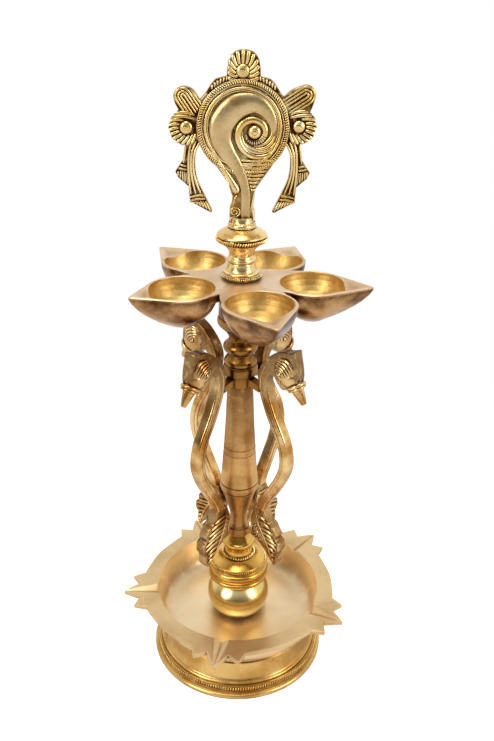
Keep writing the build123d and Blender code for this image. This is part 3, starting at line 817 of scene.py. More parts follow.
@dataclass
class TurnedPiece:
    """A turned brass piece with rope rings, which stands for one node."""

    node: str
    body: str
    slot: str
    finish: Brass
    rows: list[Row]
    # Each rope ring's radius, height, bead, count of beads and tilt
    rings: list[tuple[float, float, Triple, int, float]] = field(default_factory=list)
    steps: int = 128
    amount: float = 0.0
    # Where patina begins and where it is full, and how much it is there
    tarnish: Triple = (0.0, 1.0, 0.0)

    def shade_rings_and_tarnish(self, obj: Object) -> None:
        """Adds painted shadow at the rope rings and, where it is asked for, patina towards the top."""
        spots = points_of(obj.data) / MM
        radii, heights = np.hypot(spots[:, 0], spots[:, 1]), spots[:, 2]
        low, high, amount = self.tarnish
        extra = amount * np.clip((heights - low) / (high - low), 0, 1)
        # Painted shadow on the body where each rope ring sits
        for radius, height, bead, _, _ in self.rings:
            extra += (np.abs(heights - height) < bead[2] * 1.25) & (np.abs(radii - radius) < 1.6)
        add_patina_and_shade(obj, extra)

    def build(self) -> None:
        """Turns the piece, adds its rope rings and ties it to its node."""
        name = self.node + "_turned"
        parts = [dress(stain(turn(name, self.rows, self.steps), self.amount), self.finish)]
        self.shade_rings_and_tarnish(parts[0])
        for i, ring in enumerate(self.rings):
            parts.append(dress(stain(bead_ring(f"{self.node}_ring_{i}", *ring), 0.0, 0.2), BRIGHT_PAINTED_BEADS))
        fit(join(name, parts), self.body, self.node)


TURNED_PIECES = [
    TurnedPiece(
        "foot_drum", "base", "foot_brass", FOOT,
        [
            (0.0, 17.2), (4.05, 17.2, 1), (38.2, 17.2, 1), (39.4, 16.2), (44.4, 0.0, 1), (48.2, 0.0, 1),
            (48.8, 0.7), (48.8, 2.3), (48.2, 3.0), (47.2, 3.3, 1), (46.5, 3.5, 1), (46.3, 4.2), (46.3, 6.9),
            (46.0, 7.3, 1), (45.0, 7.3, 1), (44.9, 8.2), (44.2, 8.7, 1), (43.6, 9.1), (42.9, 11.0),
            (42.2, 15.0), (41.9, 19.4), (41.4, 20.0, 1), (0.0, 20.0, 1),
        ],
        [(46.35, 5.5, (0.7, 0.44, 1.35), 210, 8.0)],
        steps=160,
    ),
    TurnedPiece(
        "globe_knob", "base", "polished_brass", MIRROR,
        [
            (0.0, 36.0), (4.05, 36.0, 1), (4.05, 46.0, 1), (12.1, 46.0, 1), (13.0, 45.5), (15.6, 42.4),
            (17.1, 39.2), (17.5, 35.8), (17.0, 32.2), (15.2, 28.2), (12.2, 24.9), (9.6, 23.2),
            (8.6, 22.6, 1), (4.05, 22.6, 1), (4.05, 30.6, 1), (0.0, 30.6),
        ],
    ),
    TurnedPiece(
        "stem_base", "stem", "polished_brass", TURNED,
        [
            (0.0, 46.8), (12.2, 46.8, 1), (14.4, 47.3), (15.9, 48.5), (16.7, 49.7), (16.85, 50.6),
            (16.6, 51.3), (16.2, 51.6, 1), (16.15, 52.0, 1), (16.55, 53.0), (16.8, 54.3), (16.6, 55.6),
            (16.1, 56.7), (15.5, 57.1, 1), (15.3, 57.5, 1), (15.6, 57.9), (15.3, 58.6), (15.1, 59.8),
            (14.7, 60.4, 1), (14.0, 60.7, 1), (12.9, 61.5), (11.2, 62.4), (9.6, 62.9), (8.4, 63.2, 1),
            (8.1, 63.7), (8.0, 64.5), (7.7, 64.9, 1), (7.35, 66.2), (7.25, 67.6), (7.5, 69.2),
            (8.2, 70.2, 1), (8.7, 70.8), (8.8, 71.9), (8.6, 72.9), (8.0, 73.4, 1), (7.8, 73.9, 1),
            (7.0, 75.6), (5.8, 77.6), (5.7, 78.0, 1), (0.0, 78.0),
        ],
        [(15.15, 59.3, (0.75, 0.34, 0.75), 84, 0.0), (8.55, 64.2, (0.95, 0.5, 0.95), 40, 25.0)],
    ),
    TurnedPiece(
        "pillar", "stem", "antique_brass", SHAFT,
        [
            (0.0, 82.0), (5.5, 82.0, 1), (5.4, 82.6), (4.9, 83.4), (4.75, 86.0), (4.85, 90.0), (5.2, 92.6),
            (5.7, 94.4), (6.6, 97.6), (7.4, 100.4), (8.2, 103.2), (9.1, 105.8), (9.85, 107.4, 1),
            (9.6, 107.75, 1), (10.2, 108.1, 1), (10.4, 109.2), (10.35, 111.2), (10.15, 111.5, 1),
            (9.7, 111.8, 1), (10.1, 112.2, 1), (9.35, 121.0), (8.65, 130.4, 1), (8.35, 130.7, 1),
            (8.55, 131.0, 1), (8.5, 134.2, 1), (8.15, 134.55, 1), (8.35, 134.9, 1), (8.1, 139.0),
            (7.45, 150.0), (7.0, 161.0), (6.5, 171.0, 1), (0.0, 171.0),
        ],
        tarnish=(128.0, 171.0, 0.7),
    ),
    TurnedPiece(
        "capital", "stem", "antique_brass", DARK,
        [
            (0.0, 176.2), (7.55, 176.2, 1), (8.4, 177.0), (8.75, 178.6), (8.75, 180.6), (8.4, 181.9),
            (8.0, 182.3, 1), (7.9, 182.7, 1), (8.3, 183.1), (8.35, 184.2), (7.9, 185.3), (6.9, 186.6),
            (6.1, 187.6), (5.9, 188.3, 1), (6.4, 188.8), (7.9, 189.7), (8.65, 191.2), (8.6, 192.6),
            (7.7, 194.0), (6.5, 195.0), (5.85, 195.7, 1), (5.8, 196.6), (6.3, 198.2), (7.9, 200.5),
            (10.1, 202.7), (11.3, 204.2), (11.7, 205.8), (11.5, 207.4), (11.0, 208.0, 1), (6.0, 208.0, 1),
            (6.0, 212.0, 1), (3.05, 212.0, 1), (3.05, 204.0, 1), (0.0, 204.0),
        ],
        amount=0.15,
    ),
    TurnedPiece(
        "finial_spool", "finial", "carved_brass", CARVED,
        [
            (0.0, 228.2), (9.3, 228.2, 1), (9.6, 228.7), (9.65, 229.5), (9.4, 230.1), (8.8, 230.35, 1),
            (8.5, 230.6, 1), (8.55, 231.2), (8.1, 231.7), (7.3, 232.0, 1), (6.9, 232.8), (6.55, 234.4),
            (6.4, 235.5, 1), (6.1, 235.9, 1), (6.6, 236.4), (6.9, 237.1), (6.7, 237.9), (6.15, 238.3, 1),
            (5.9, 238.9), (5.9, 240.0), (6.2, 241.2), (7.0, 242.7), (8.3, 243.9), (9.1, 244.5),
            (9.2, 244.9, 1), (9.0, 245.2, 1), (9.9, 245.5), (11.3, 246.0, 1), (11.8, 246.4), (11.9, 247.4),
            (11.6, 248.2, 1), (11.3, 248.45, 1), (11.9, 248.75), (11.6, 249.6), (9.9, 250.9), (8.0, 251.9),
            (6.6, 252.5, 1), (0.0, 252.5),
        ],
        [(11.7, 247.25, (0.7, 0.46, 0.95), 62, 28.0), (9.4, 229.4, (0.45, 0.36, 0.6), 60, 0.0)],
    ),
]


# Oil tray


@dataclass
class OilTray:
    """The wide tray with five jagged corners and their spouts."""

    floor: float = 22.6
    rim: float = 41.0
    rim_under: float = 38.4
    corners: int = 5
    first_corner: float = -100.7
    bowl: float = 45.7
    wall: float = 49.2
    spout_start: float = 43.6
    spout_end: float = 64.6
    spout_half_width: float = 4.6
    spout_depth: float = 2.8
    # The rim's radius at angles off a corner, and how many points each stretch takes
    outline: tuple[Point, ...] = (
        (0.0, 65.5), (5.8, 56.8), (11.3, 61.3), (15.2, 55.2), (25.0, 54.4), (36.0, 54.6),
    )
    stretches: tuple[Triple, ...] = ((0.0, 5.8, 16), (5.8, 11.3, 8), (11.3, 15.2, 6), (15.2, 36.0, 18))
    # The underside's radii and heights, and how far the grooves sink into it
    under: tuple[Triple, ...] = (
        (4.05, 20.0, 1.0), (36.5, 20.0, 1.0), (39.6, 20.4, 1.0), (43.0, 22.2, 0.0), (45.8, 25.2, 0.0),
        (47.1, 29.0, 0.0), (48.0, 34.0, 0.3), (48.6, 37.8, 0.9), (49.2, 38.4, 1.0),
    )
    # The rim's edge: how far in and how high
    lip: tuple[Point, ...] = ((0.5, 38.4), (0.1, 38.8), (0.0, 40.5), (0.15, 40.88), (0.6, 41.0))
    # The bowl's radii and heights, from the rim to the middle
    inner: tuple[Point, ...] = (
        (46.2, 41.0), (45.8, 40.85), (45.55, 40.4), (45.5, 39.0), (45.2, 36.5), (44.9, 33.5), (44.6, 30.8),
        (44.1, 28.4), (43.2, 26.2), (41.8, 24.5), (39.8, 23.3), (37.4, 22.75), (34.0, 22.6), (20.0, 22.6),
        (4.05, 22.6),
    )

    def angles(self) -> np.ndarray:
        """Azimuths of the ring points, closer together near the corners."""
        sector = 360 / self.corners
        half = np.concatenate([
            np.linspace(start, end, int(count), endpoint=False) for start, end, count in self.stretches
        ])
        whole = np.unique(np.round(np.concatenate([half, [sector / 2], sector - half[1:]]), 6))
        return np.concatenate([self.first_corner + sector * k + whole for k in range(self.corners)])

    def off_corner(self, azimuths: np.ndarray) -> np.ndarray:
        """How far each azimuth lies off the nearest corner, in degrees."""
        sector = 360 / self.corners
        return (azimuths - self.first_corner + sector / 2) % sector - sector / 2

    def groove(self, azimuths: np.ndarray, radius: np.ndarray) -> np.ndarray:
        """How deep the spouts' grooves lie at each azimuth and radius."""
        off = np.radians(self.off_corner(azimuths))
        share = np.clip((radius - self.spout_start) / (self.spout_end - self.spout_start), 0, 1)
        narrow = 1 - 0.86 * share
        side = np.abs(radius * np.sin(off)) / (self.spout_half_width * narrow)
        deep = self.spout_depth * narrow * np.clip(1 - side, 0, 1)
        return np.where(radius < self.spout_start - 0.6, 0.0, deep)

    def ring(self, azimuths: np.ndarray, radius: Numbers, height: float, sink: float = 1.0) -> np.ndarray:
        """A ring of points with the grooves pressed into it."""
        radii = np.full(len(azimuths), radius)
        turned = np.radians(azimuths)
        level = height - sink * self.groove(azimuths, radii)
        return np.stack([radii * np.cos(turned), radii * np.sin(turned), level], axis=1)

    def rings(self) -> list[np.ndarray]:
        """The tray's rings in order, from its middle below to its middle above."""
        az = self.angles()
        edge = np.interp(np.abs(self.off_corner(az)), *zip(*self.outline))
        rings = [self.ring(az, *row) for row in self.under]
        for share in (0.3, 0.6, 0.85):
            rings.append(self.ring(az, self.wall + (edge - self.wall) * share, self.rim_under))
        rings += [self.ring(az, edge - inset, height) for inset, height in self.lip]
        start = self.inner[0][0]
        for share in (0.85, 0.66, 0.5, 0.33, 0.16, 0.07):
            rings.append(self.ring(az, start + (edge - start) * share, self.rim))
        for radius, height in self.inner:
            sink = np.interp(height, (33.5, 36.5, 39.0, 40.0), (0.0, 0.3, 0.8, 1.0))
            rings.append(self.ring(az, radius, height, sink))
        return rings

    def paint_wall_shade(self, tray: Object) -> None:
        """Adds painted shade, a dark reflection, on the bowl's inner wall low down, where it meets its floor.
        """
        spots = points_of(tray.data) / MM
        radii, heights = np.hypot(spots[:, 0], spots[:, 1]), spots[:, 2]
        # Painted shade by height on the inner wall: full a little above the floor, gone below the rim
        wall = np.interp(heights, (22.7, 25.0, 28.0, 33.0, 37.0), (0.0, 0.36, 0.36, 0.16, 0.0))
        add_patina_and_shade(tray, np.where((radii > 38.0) & (radii < self.bowl) & (heights > self.floor), wall, 0))

    def build(self) -> None:
        """Makes the tray in one closed wall and gives its rim a finish of its own."""
        tray = dress(stain(skin("oil_tray_cast", self.rings(), 28.0), 0.0, 0.8), TRAY, LEDGE)
        self.paint_wall_shade(tray)
        for polygon in tray.data.polygons:
            centre = polygon.center / MM
            outside = math.hypot(centre.x, centre.y) > self.bowl + 0.2 and centre.z > self.rim_under - 1
            polygon.material_index = int(outside)
        fit(tray, "base", "oil_tray")


# Cup plate


def raised(points: np.ndarray, height: Numbers) -> np.ndarray:
    """(x, y, z) points from (x, y) points and their heights."""
    return np.column_stack([points, np.full(len(points), height)])


@dataclass
class CupPlate:
    """Five pointed oil cups round a flat web with a boss below."""

    top: float = 227.7
    web_under: float = 223.7
    web_reach: float = 36.0
    azimuths: tuple[float, ...] = (-76.3, -10.5, 60.5, 133.0, 209.0)
    places: tuple[float, ...] = (1.0, 0.98, 0.9, 0.99, 0.9)
    centre: float = 35.0
    tip: float = 64.4
    outer: float = 17.2
    bowl: float = 15.5
    bowl_depth: float = 15.0
    nose: float = 1.1
    # A cup's outside: how far below the top, then its width and its nose's reach as shares
    sections: tuple[Triple, ...] = (
        (0.0, 0.97, 0.985), (0.4, 1.0, 1.0), (1.6, 0.995, 0.975), (4.0, 0.975, 0.87), (7.0, 0.92, 0.7),
        (10.0, 0.83, 0.51), (12.8, 0.7, 0.34), (15.2, 0.55, 0.21), (17.2, 0.38, 0.11), (18.4, 0.2, 0.03),
    )
    hub: tuple[Row, ...] = (
        (0.0, 209.0), (6.1, 209.0, 1), (6.1, 208.0, 1), (10.4, 208.0, 1), (11.0, 208.6), (11.0, 214.0),
        (11.2, 219.0), (12.4, 222.4), (14.0, 223.9, 1), (0.0, 223.9),
    )

    def teardrop(self, wide: float, reach: float, nose: float) -> np.ndarray:
        """Points round a cup's outline, from the nose's tip round the back.

        Args:
            wide: the round part's radius.
            reach: how far the nose's tip is from the middle.
            nose: the nose's own radius.

        Returns:
            (x, y) points.
        """
        reach = max(reach, wide + 0.01)
        lean = math.degrees(math.acos(min(1.0, (wide - nose) / (reach - nose))))
        middle = (reach - nose, 0.0)
        start, end = polar(nose, lean, middle), polar(wide, lean)
        half = [polar(nose, lean * i / 3, middle) for i in range(3)]
        half += [between(start, end, i / 12) for i in range(12)]
        half += [polar(wide, lean + (180 - lean) * i / 21) for i in range(21)]
        return np.array([*half, (-wide, 0.0), *[(x, -y) for x, y in half[:0:-1]]])

    def cup(self, index: int) -> Object:
        """One cup at the origin, with its bowl."""
        reach = (self.tip - self.centre) * self.places[index]
        rings = []
        for drop, wide, far in reversed(self.sections):
            width = self.outer * wide
            points = self.teardrop(width, width + (reach - self.outer) * far, min(self.nose, width * 0.5))
            rings.append(raised(points, self.top - drop))
        rings.append(raised(self.teardrop(self.outer - 0.8, reach - 2.6, 0.5), self.top))
        lip = self.teardrop(self.bowl + 0.45, reach - 3.8, 0.3)
        rings.append(raised(lip, self.top - 0.25 * (lip[:, 0] > self.bowl * 0.55)))
        # The recess falls from the lip to the bowl's edge, most along its middle line
        angle = np.arctan2(lip[:, 1], lip[:, 0])
        near = np.exp(-((angle / 0.42) ** 2))
        circle = self.bowl * np.column_stack([np.cos(angle), np.sin(angle)])
        edge = self.top - 0.1 - 2.3 * near
        rings.append(raised((lip + circle) / 2, self.top - 0.25 - 1.3 * near))
        rings.append(raised(circle, edge))
        bowl = [rings[-1]]
        for share in (0.06, 0.16, 0.28, 0.4, 0.52, 0.64, 0.75, 0.85, 0.93, 0.98, 1.0):
            lean, flat = share * math.pi / 2, 3.5 * (1 - share)
            radius = max(flat + (self.bowl - flat) * math.cos(lean), 0.6) / self.bowl
            level = np.minimum(edge - 0.02, self.top - self.bowl_depth * math.sin(lean))
            bowl.append(raised(circle * radius, level))
        body = skin(f"cup_{index}", rings, 32.0)
        self.sink_bowl(body, bowl)
        self.paint_rim_shadow(stain(body, 0.0, 0.6))
        return body

    def sink_bowl(self, body: Object, rings: list[np.ndarray]) -> None:
        """Presses the bowl into the cup's flat top face and gives the faces their finishes."""
        pick(body)
        bpy.ops.object.mode_set(mode="EDIT")
        bpy.ops.mesh.select_mode(type="FACE")
        mesh = bmesh.from_edit_mesh(body.data)
        wide = [face for face in mesh.faces if len(face.verts) > 20]
        lid = max(wide, key=lambda face: face.calc_center_median().z)
        for face in mesh.faces:
            face.select_set(face is lid)
        bmesh.update_edit_mesh(body.data)
        for last, ring in zip(rings, rings[1:]):
            bpy.ops.mesh.extrude_region_move()
            move_ring(body.data, last * MM, ring * MM)
        bpy.ops.mesh.select_mode(type="VERT")
        turn_out()
        bpy.ops.object.mode_set(mode="OBJECT")
        dress(body, CUP, BOWL, RIM)
        for polygon in body.data.polygons:
            centre = polygon.center / MM
            inside = math.hypot(centre.x, centre.y) < self.bowl - 0.02
            if inside and polygon.normal.z > -0.2 and centre.z > self.top - self.bowl_depth - 0.5:
                polygon.material_index = 1
            elif polygon.normal.z > 0.5:
                polygon.material_index = 2
        bpy.ops.object.shade_smooth_by_angle(angle=math.radians(32))

    def paint_rim_shadow(self, body: Object) -> None:
        """Adds the painted shadow, a dark line, that runs under a cup's overhanging rim, on its outside."""
        spots = points_of(body.data) / MM
        # Painted shadow in a band just under the rim
        line = np.interp(self.top - spots[:, 2], (0.5, 1.6, 4.0, 7.0), (0.0, 0.85, 0.25, 0.0))
        add_patina_and_shade(body, np.where(np.hypot(spots[:, 0], spots[:, 1]) > self.bowl + 0.6, line, 0))

    def web_radii(self, azimuths: np.ndarray) -> np.ndarray:
        """How far the web reaches at each azimuth: into the cups, and in hollow curves between them."""
        radii = np.full(len(azimuths), self.web_reach)
        for azimuth, place in zip(self.azimuths, self.places):
            away = self.centre * place
            off = np.radians((azimuths - azimuth + 180) % 360 - 180)
            inside = (self.outer - 0.9) ** 2 - (away * np.sin(off)) ** 2
            entry = away * np.cos(off) - np.sqrt(np.maximum(inside, 0))
            radii = np.where((inside > 0) & (np.cos(off) > 0), np.minimum(radii, entry), radii)
        ordered = sorted(azimuth % 360 for azimuth in self.azimuths)
        for a, b in zip(ordered, ordered[1:] + [ordered[0] + 360]):
            wide = (b - a) / 2
            off = np.abs((azimuths - (a + b) / 2 + 180) % 360 - 180)
            waist = 24.5 if wide > 36.2 else 26.5
            radii = np.where(off < wide - 24, np.minimum(radii, waist + 1.1 * off), radii)
        return radii

    def web(self) -> Object:
        """The flat web between the cups."""
        azimuths = np.arange(0, 360, 1.0)
        radii, turned = self.web_radii(azimuths), np.radians(azimuths)
        around = np.column_stack([np.cos(turned), np.sin(turned)])
        rings = [
            raised(around * (radii - inset)[:, None], level)
            for inset, level in (
                (0.6, self.web_under), (0.1, self.web_under + 0.5), (0.0, self.top - 0.7),
                (0.2, self.top - 0.2), (0.8, self.top - 0.02),
            )
        ]
        middle = around * 4.0
        rings = [raised(middle, self.web_under), *rings, raised(middle, self.top - 0.02)]
        web = dress(skin("cup_web", rings, 32.0), CUP, RIM)
        for polygon in web.data.polygons:
            polygon.material_index = int(polygon.normal.z > 0.5)
        return stain(web, 0.0, 0.6)

    def build(self) -> None:
        """Makes the cups, the web and the boss, and joins them."""
        parts = []
        for index, (azimuth, place) in enumerate(zip(self.azimuths, self.places)):
            body = self.cup(index)
            body.rotation_euler = (0, 0, math.radians(azimuth))
            body.location = (*polar(self.centre * place * MM, azimuth), 0)
            parts.append(settle(body))
        parts.append(self.web())
        parts.append(stain(dress(turn("cup_hub", self.hub, 96), CUP), 0.0, 0.6))
        fit(join("cup_plate_cast", parts), "cup_plate", "cup_plate")


# Conch emblem


@dataclass
class ConchEmblem:
    """The flat conch casting that crowns the lamp, with its carved relief."""

    middle: float = 297.6
    disc: float = 20.4
    thickness: float = 4.6
    eye: Point = (5.1, 296.0)
    crest_boss: Point = (-0.3, 321.2)
    shell_bosses: tuple[Point, ...] = ((-25.0, 297.4), (24.6, 298.4))
    collar: tuple[Row, ...] = (
        (0.0, 252.5), (6.2, 252.5, 1), (6.6, 252.9), (6.6, 254.0), (6.1, 254.8, 1), (5.6, 255.4),
        (5.3, 256.8), (5.2, 257.6, 1), (0.0, 257.7),
    )
    stem: tuple[Point, ...] = (
        (15.6, 284.8), (11.6, 278.8), (8.2, 274.0), (5.7, 270.3), (5.2, 267.4), (4.4, 264.7), (4.9, 262.2),
        (5.9, 260.0), (5.3, 256.6), (4.6, 254.6), (-5.4, 254.6), (-5.9, 258.4), (-5.7, 261.9),
        (-4.7, 264.6), (-4.5, 267.2), (-6.4, 272.9), (-9.2, 277.2), (-12.2, 281.2), (-16.6, 286.4),
    )
    crest: tuple[Point, ...] = (
        (-7.2, 315.0), (-7.2, 319.5), (-6.9, 322.6), (-5.9, 326.0), (-4.0, 328.7), (-0.2, 329.8),
        (3.9, 329.0), (6.4, 326.3), (7.2, 322.9), (7.4, 319.5), (7.2, 315.0),
    )
    petals: tuple[tuple[Point, ...], ...] = (
        (
            (-15, 303), (-18.6, 308.6), (-21.2, 312.9), (-24.2, 314.6), (-27.6, 314.3), (-30.2, 311.8),
            (-30.0, 308.2), (-28.4, 305.0), (-26.4, 301.6), (-17, 297.5),
        ),
        (
            (14.6, 304), (18.2, 311.4), (22.8, 314.6), (27.2, 315.6), (30.4, 314.4), (31.3, 311.0),
            (30.4, 307.2), (28.6, 303.6), (24, 300.6), (16, 297.5),
        ),
    )
    shoulder: tuple[Point, ...] = (
        (0, 316.5), (7.6, 319.0), (12.0, 318.0), (14.2, 315.5), (16.4, 312.2), (19.4, 308.8), (20.2, 304.0),
        (0, 300),
    )
    long_ribbon: tuple[Row, ...] = (
        (18.0, 292.6), (20.7, 287.8), (21.3, 280.9), (20.4, 274.7), (17.6, 268.3), (13.6, 260.0, 1),
        (14.5, 259.5, 1), (23.9, 264.6, 1), (24.4, 271.1), (24.8, 281.0), (25.0, 292.6, 1),
    )
    short_ribbon: tuple[Point, ...] = (
        (22.8, 292.6), (25.4, 291.6), (26.6, 283.6), (28.6, 280.6), (30.4, 278.0), (29.2, 275.5),
        (24.5, 271.3), (23.0, 281.0),
    )
    # Ribs from the crest's boss, and from a side shell's boss with their widths
    crest_ribs: tuple[tuple[Point, ...], ...] = (
        ((0.0, 3.0), (0.0, 5.6), (0.0, 8.3)), ((1.5, 2.8), (2.1, 5.4), (2.4, 8.0)),
        ((-1.5, 2.8), (-2.1, 5.4), (-2.4, 7.8)), ((2.6, 2.0), (3.8, 4.3), (4.5, 6.8)),
        ((-2.6, 2.0), (-3.8, 4.2), (-4.5, 6.5)), ((3.0, 0.6), (5.0, 2.6), (6.1, 4.6)),
        ((-3.0, 0.6), (-4.9, 2.5), (-5.8, 4.3)), ((3.1, -0.9), (5.3, 0.5), (6.7, 2.1)),
        ((-3.1, -0.9), (-5.1, 0.4), (-6.3, 1.9)), ((3.0, -2.3), (5.1, -1.6), (6.8, -0.4)),
        ((-3.0, -2.3), (-4.9, -1.6), (-6.3, -0.4)), ((2.8, -3.8), (4.8, -3.6), (6.7, -2.7)),
        ((-2.8, -3.8), (-4.6, -3.6), (-6.3, -2.7)),
    )
    shell_ribs: tuple[tuple[tuple[Point, ...], float], ...] = (
        (((-3.7, 5.6), (0.4, 6.5), (3.8, 6.3)), 0.8), (((-3.8, 3.9), (0.9, 4.9), (5.5, 4.8)), 0.9),
        (((1.2, 3.2), (3.9, 3.5), (6.8, 3.0)), 0.85), (((3.0, 1.6), (5.1, 1.6), (7.3, 1.1)), 0.9),
        (((3.3, 0.0), (5.2, -0.2), (7.3, -0.9)), 0.9), (((3.0, -1.5), (5.0, -2.1), (6.9, -2.9)), 0.9),
        (((2.0, -2.7), (4.1, -3.8), (5.9, -4.7)), 0.9), (((0.6, -3.3), (2.5, -5.0), (4.3, -6.1)), 0.9),
        (((-1.3, -3.3), (0.5, -5.6), (2.2, -7.0)), 0.9), (((-2.9, -2.9), (-1.5, -5.5), (-0.1, -7.3)), 0.85),
        (((-4.0, -2.6), (-3.3, -4.9), (-2.2, -6.9)), 0.8),
    )
    pleats: tuple[tuple[Point, ...], ...] = (
        ((18.9, 291.6), (21.6, 286.0), (22.1, 279.5), (21.0, 273.6), (19.0, 268.4)),
        ((20.8, 291.6), (22.8, 286.0), (23.2, 279.5), (22.5, 273.6), (21.2, 268.2)),
        ((22.9, 291.6), (24.0, 286.0), (24.3, 279.5), (24.0, 273.6), (23.4, 268.0)),
    )
    # The conch's winding lines, as angles and radii round its eye
    whorl: tuple[Point, ...] = (
        (196, 3.9), (232, 4.3), (270, 4.5), (315, 4.6), (360, 4.7), (405, 4.8), (450, 5.0), (485, 5.6),
        (515, 6.4), (542, 7.2), (566, 7.9), (590, 8.8), (612, 9.9), (634, 10.9), (656, 11.5), (676, 11.9),
    )
    windings: tuple[tuple[tuple[Point, ...], tuple[float, ...]], ...] = (
        (
            ((176, 5.4), (205, 6.1), (235, 7.2), (262, 8.4), (288, 9.4), (312, 10.1), (334, 10.5)),
            (0.35, 0.6, 0.8, 0.85, 0.8, 0.75, 0.5),
        ),
        (
            ((232, 6.2), (258, 6.9), (282, 7.7), (306, 8.4), (330, 8.9), (350, 9.2)),
            (0.35, 0.7, 0.85, 0.85, 0.75, 0.4),
        ),
        (((268, 6.0), (292, 6.3), (318, 6.9), (342, 7.6), (360, 8.0)), (0.3, 0.5, 0.8, 0.85, 0.4)),
    )

    def plates(self) -> list[Object]:
        """The flat plates: body, shoulders, crest, petals, shells and ribbons."""
        disc = [polar(self.disc, 206 - 232 * step / 48, (0.0, self.middle)) for step in range(49)]
        parts = [stain_sides(plate("emblem_body", [*disc, *self.stem], self.thickness, 0.6), 0.7, 0.35)]
        outlines = []
        for hand, petal, boss in zip((-1, 1), self.petals, self.shell_bosses):
            lobes = [polar(7.5 + 0.35 * math.cos(TURN * i / 3), 12 * i) for i in range(30)]
            outlines += [
                ("emblem_shoulder", placed(self.shoulder, hand=hand), 3.4, 0.8),
                ("emblem_petal", flowing(petal, 3), 3.2, 0.8),
                ("emblem_shell", [(boss[0] + x * 1.02, boss[1] - 0.2 + z) for x, z in lobes], 3.0, 0.7),
                ("emblem_ribbon_long", placed(flowing(self.long_ribbon, 3), hand=hand), 3.2, 0.5),
                ("emblem_ribbon_short", placed(self.short_ribbon, hand=hand), 2.2, 0.4),
            ]
        outlines.append(("emblem_crest", flowing(self.crest, 3), 3.2, 0.8))
        return parts + [stain_sides(plate(*outline), 1.0, 0.35) for outline in outlines]

    def fans(self, side: int) -> list[Object]:
        """Crest, shells, petals and shoulders on one face."""
        low = Relief("emblem_fans", side * 1.55, 1.15, 3)
        for rows in self.crest_ribs:
            low.swell(placed(rows, self.crest_boss), [0.7, 0.9, 1.05, 1.08, 0.8])
        for hand, (x, z) in zip((-1, 1), self.shell_bosses):
            for rows, wide in self.shell_ribs:
                widths = [share * wide for share in (0.6, 0.9, 1.0, 1.1, 0.8)]
                low.swell(placed(rows, (x, z - 0.1), hand), widths)
        # The upper petals are arches, one inside the other; the left one has a line more
        self.arches(low, (-21.4, 303.6), (-26.2, 310.6), (3.3, 2.0, 0.75), (4.7,))
        self.arches(low, (19.0, 306.2), (27.3, 311.6), (3.55, 2.2, 0.85), ())
        for hand in (-1, 1):
            for angle in (50 + i * 3.9 for i in range(9)):
                scale = [polar(21.0, angle), polar(22.6, angle + 2.6, (0.0, -0.1))]
                low.ridge(placed(scale, (0.0, self.middle), hand), 0.5, 0.8)
        return [stain_sides(low.make())]

    def arches(self, low: Relief, foot: Point, end: Point, radii: Row, beside: Row) -> None:
        """Draws a petal's arches.

        Args:
            low: the drawing.
            foot: where the petal begins.
            end: the middle of its round end.
            radii: the arches' half widths.
            beside: how far off the middle line further lines run.
        """
        root, tip = Vector(foot), Vector(end)
        lean = (tip - root).normalized()
        cross = Vector((lean.y, -lean.x))
        waist = root.lerp(tip, 0.55)
        for radius in radii:
            arch = [root - cross * radius, waist - cross * radius]
            for turned in (math.pi * step / 6 for step in range(7)):
                arch.append(tip - cross * radius * math.cos(turned) + lean * radius * math.sin(turned))
            arch += [waist + cross * radius, root + cross * radius]
            low.ridge([tuple(spot) for spot in arch], 0.58, 0.8)
        for away in beside:
            start, stop = root + cross * away, tip + cross * away * 0.93 + lean * 0.4
            low.ridge([tuple(start), tuple(start.lerp(stop, 0.5)), tuple(stop)], 0.55, 0.6)

    def ribbons(self, side: int) -> list[Object]:
        """Pleats, double bands and fringes of the ribbons on one face."""
        pleats = Relief("emblem_pleats", side * 1.55, 0.9, 3)
        shorts = Relief("emblem_short_pleats", side * 1.05, 0.9, 3)
        for hand in (-1, 1):
            for rows in self.pleats:
                pleats.ridge(placed(rows, hand=hand), 0.6, 0.6)
            for low in (0.0, 1.6):
                band = [(17.7 - low * 0.35, 267.4 - low), (20.6, 267.3 - low), (24.0, 266.5 - low)]
                pleats.ridge(placed(band, hand=hand), 0.6, 0.8)
            for i in range(7):
                fringe = [(16.9 + i * 1.13, 264.9 - abs(i - 2) * 0.1), (14.7 + i * 1.42, 260.4 + i * 0.72)]
                pleats.ridge(placed(fringe, hand=hand), 0.42, 0.55)
            for low in (0.0, 1.5):
                band = [(25.2, 280.4 - low), (28.0 + low * 0.5, 281.0 - low)]
                shorts.ridge(placed(band, hand=hand), 0.5, 0.8)
            for i in range(5):
                fringe = [(25.1 + i * 0.98, 277.8 + i * 0.1), (24.8 + i * 1.08, 272.6 + i * 0.86)]
                shorts.ridge(placed(fringe, hand=hand), 0.42, 0.55)
            shorts.ridge(placed([(25.3, 290.6), (25.9, 286.0), (26.5, 282.0)], hand=hand), 0.5, 0.6)
        return [stain_sides(pleats.make()), stain_sides(shorts.make())]

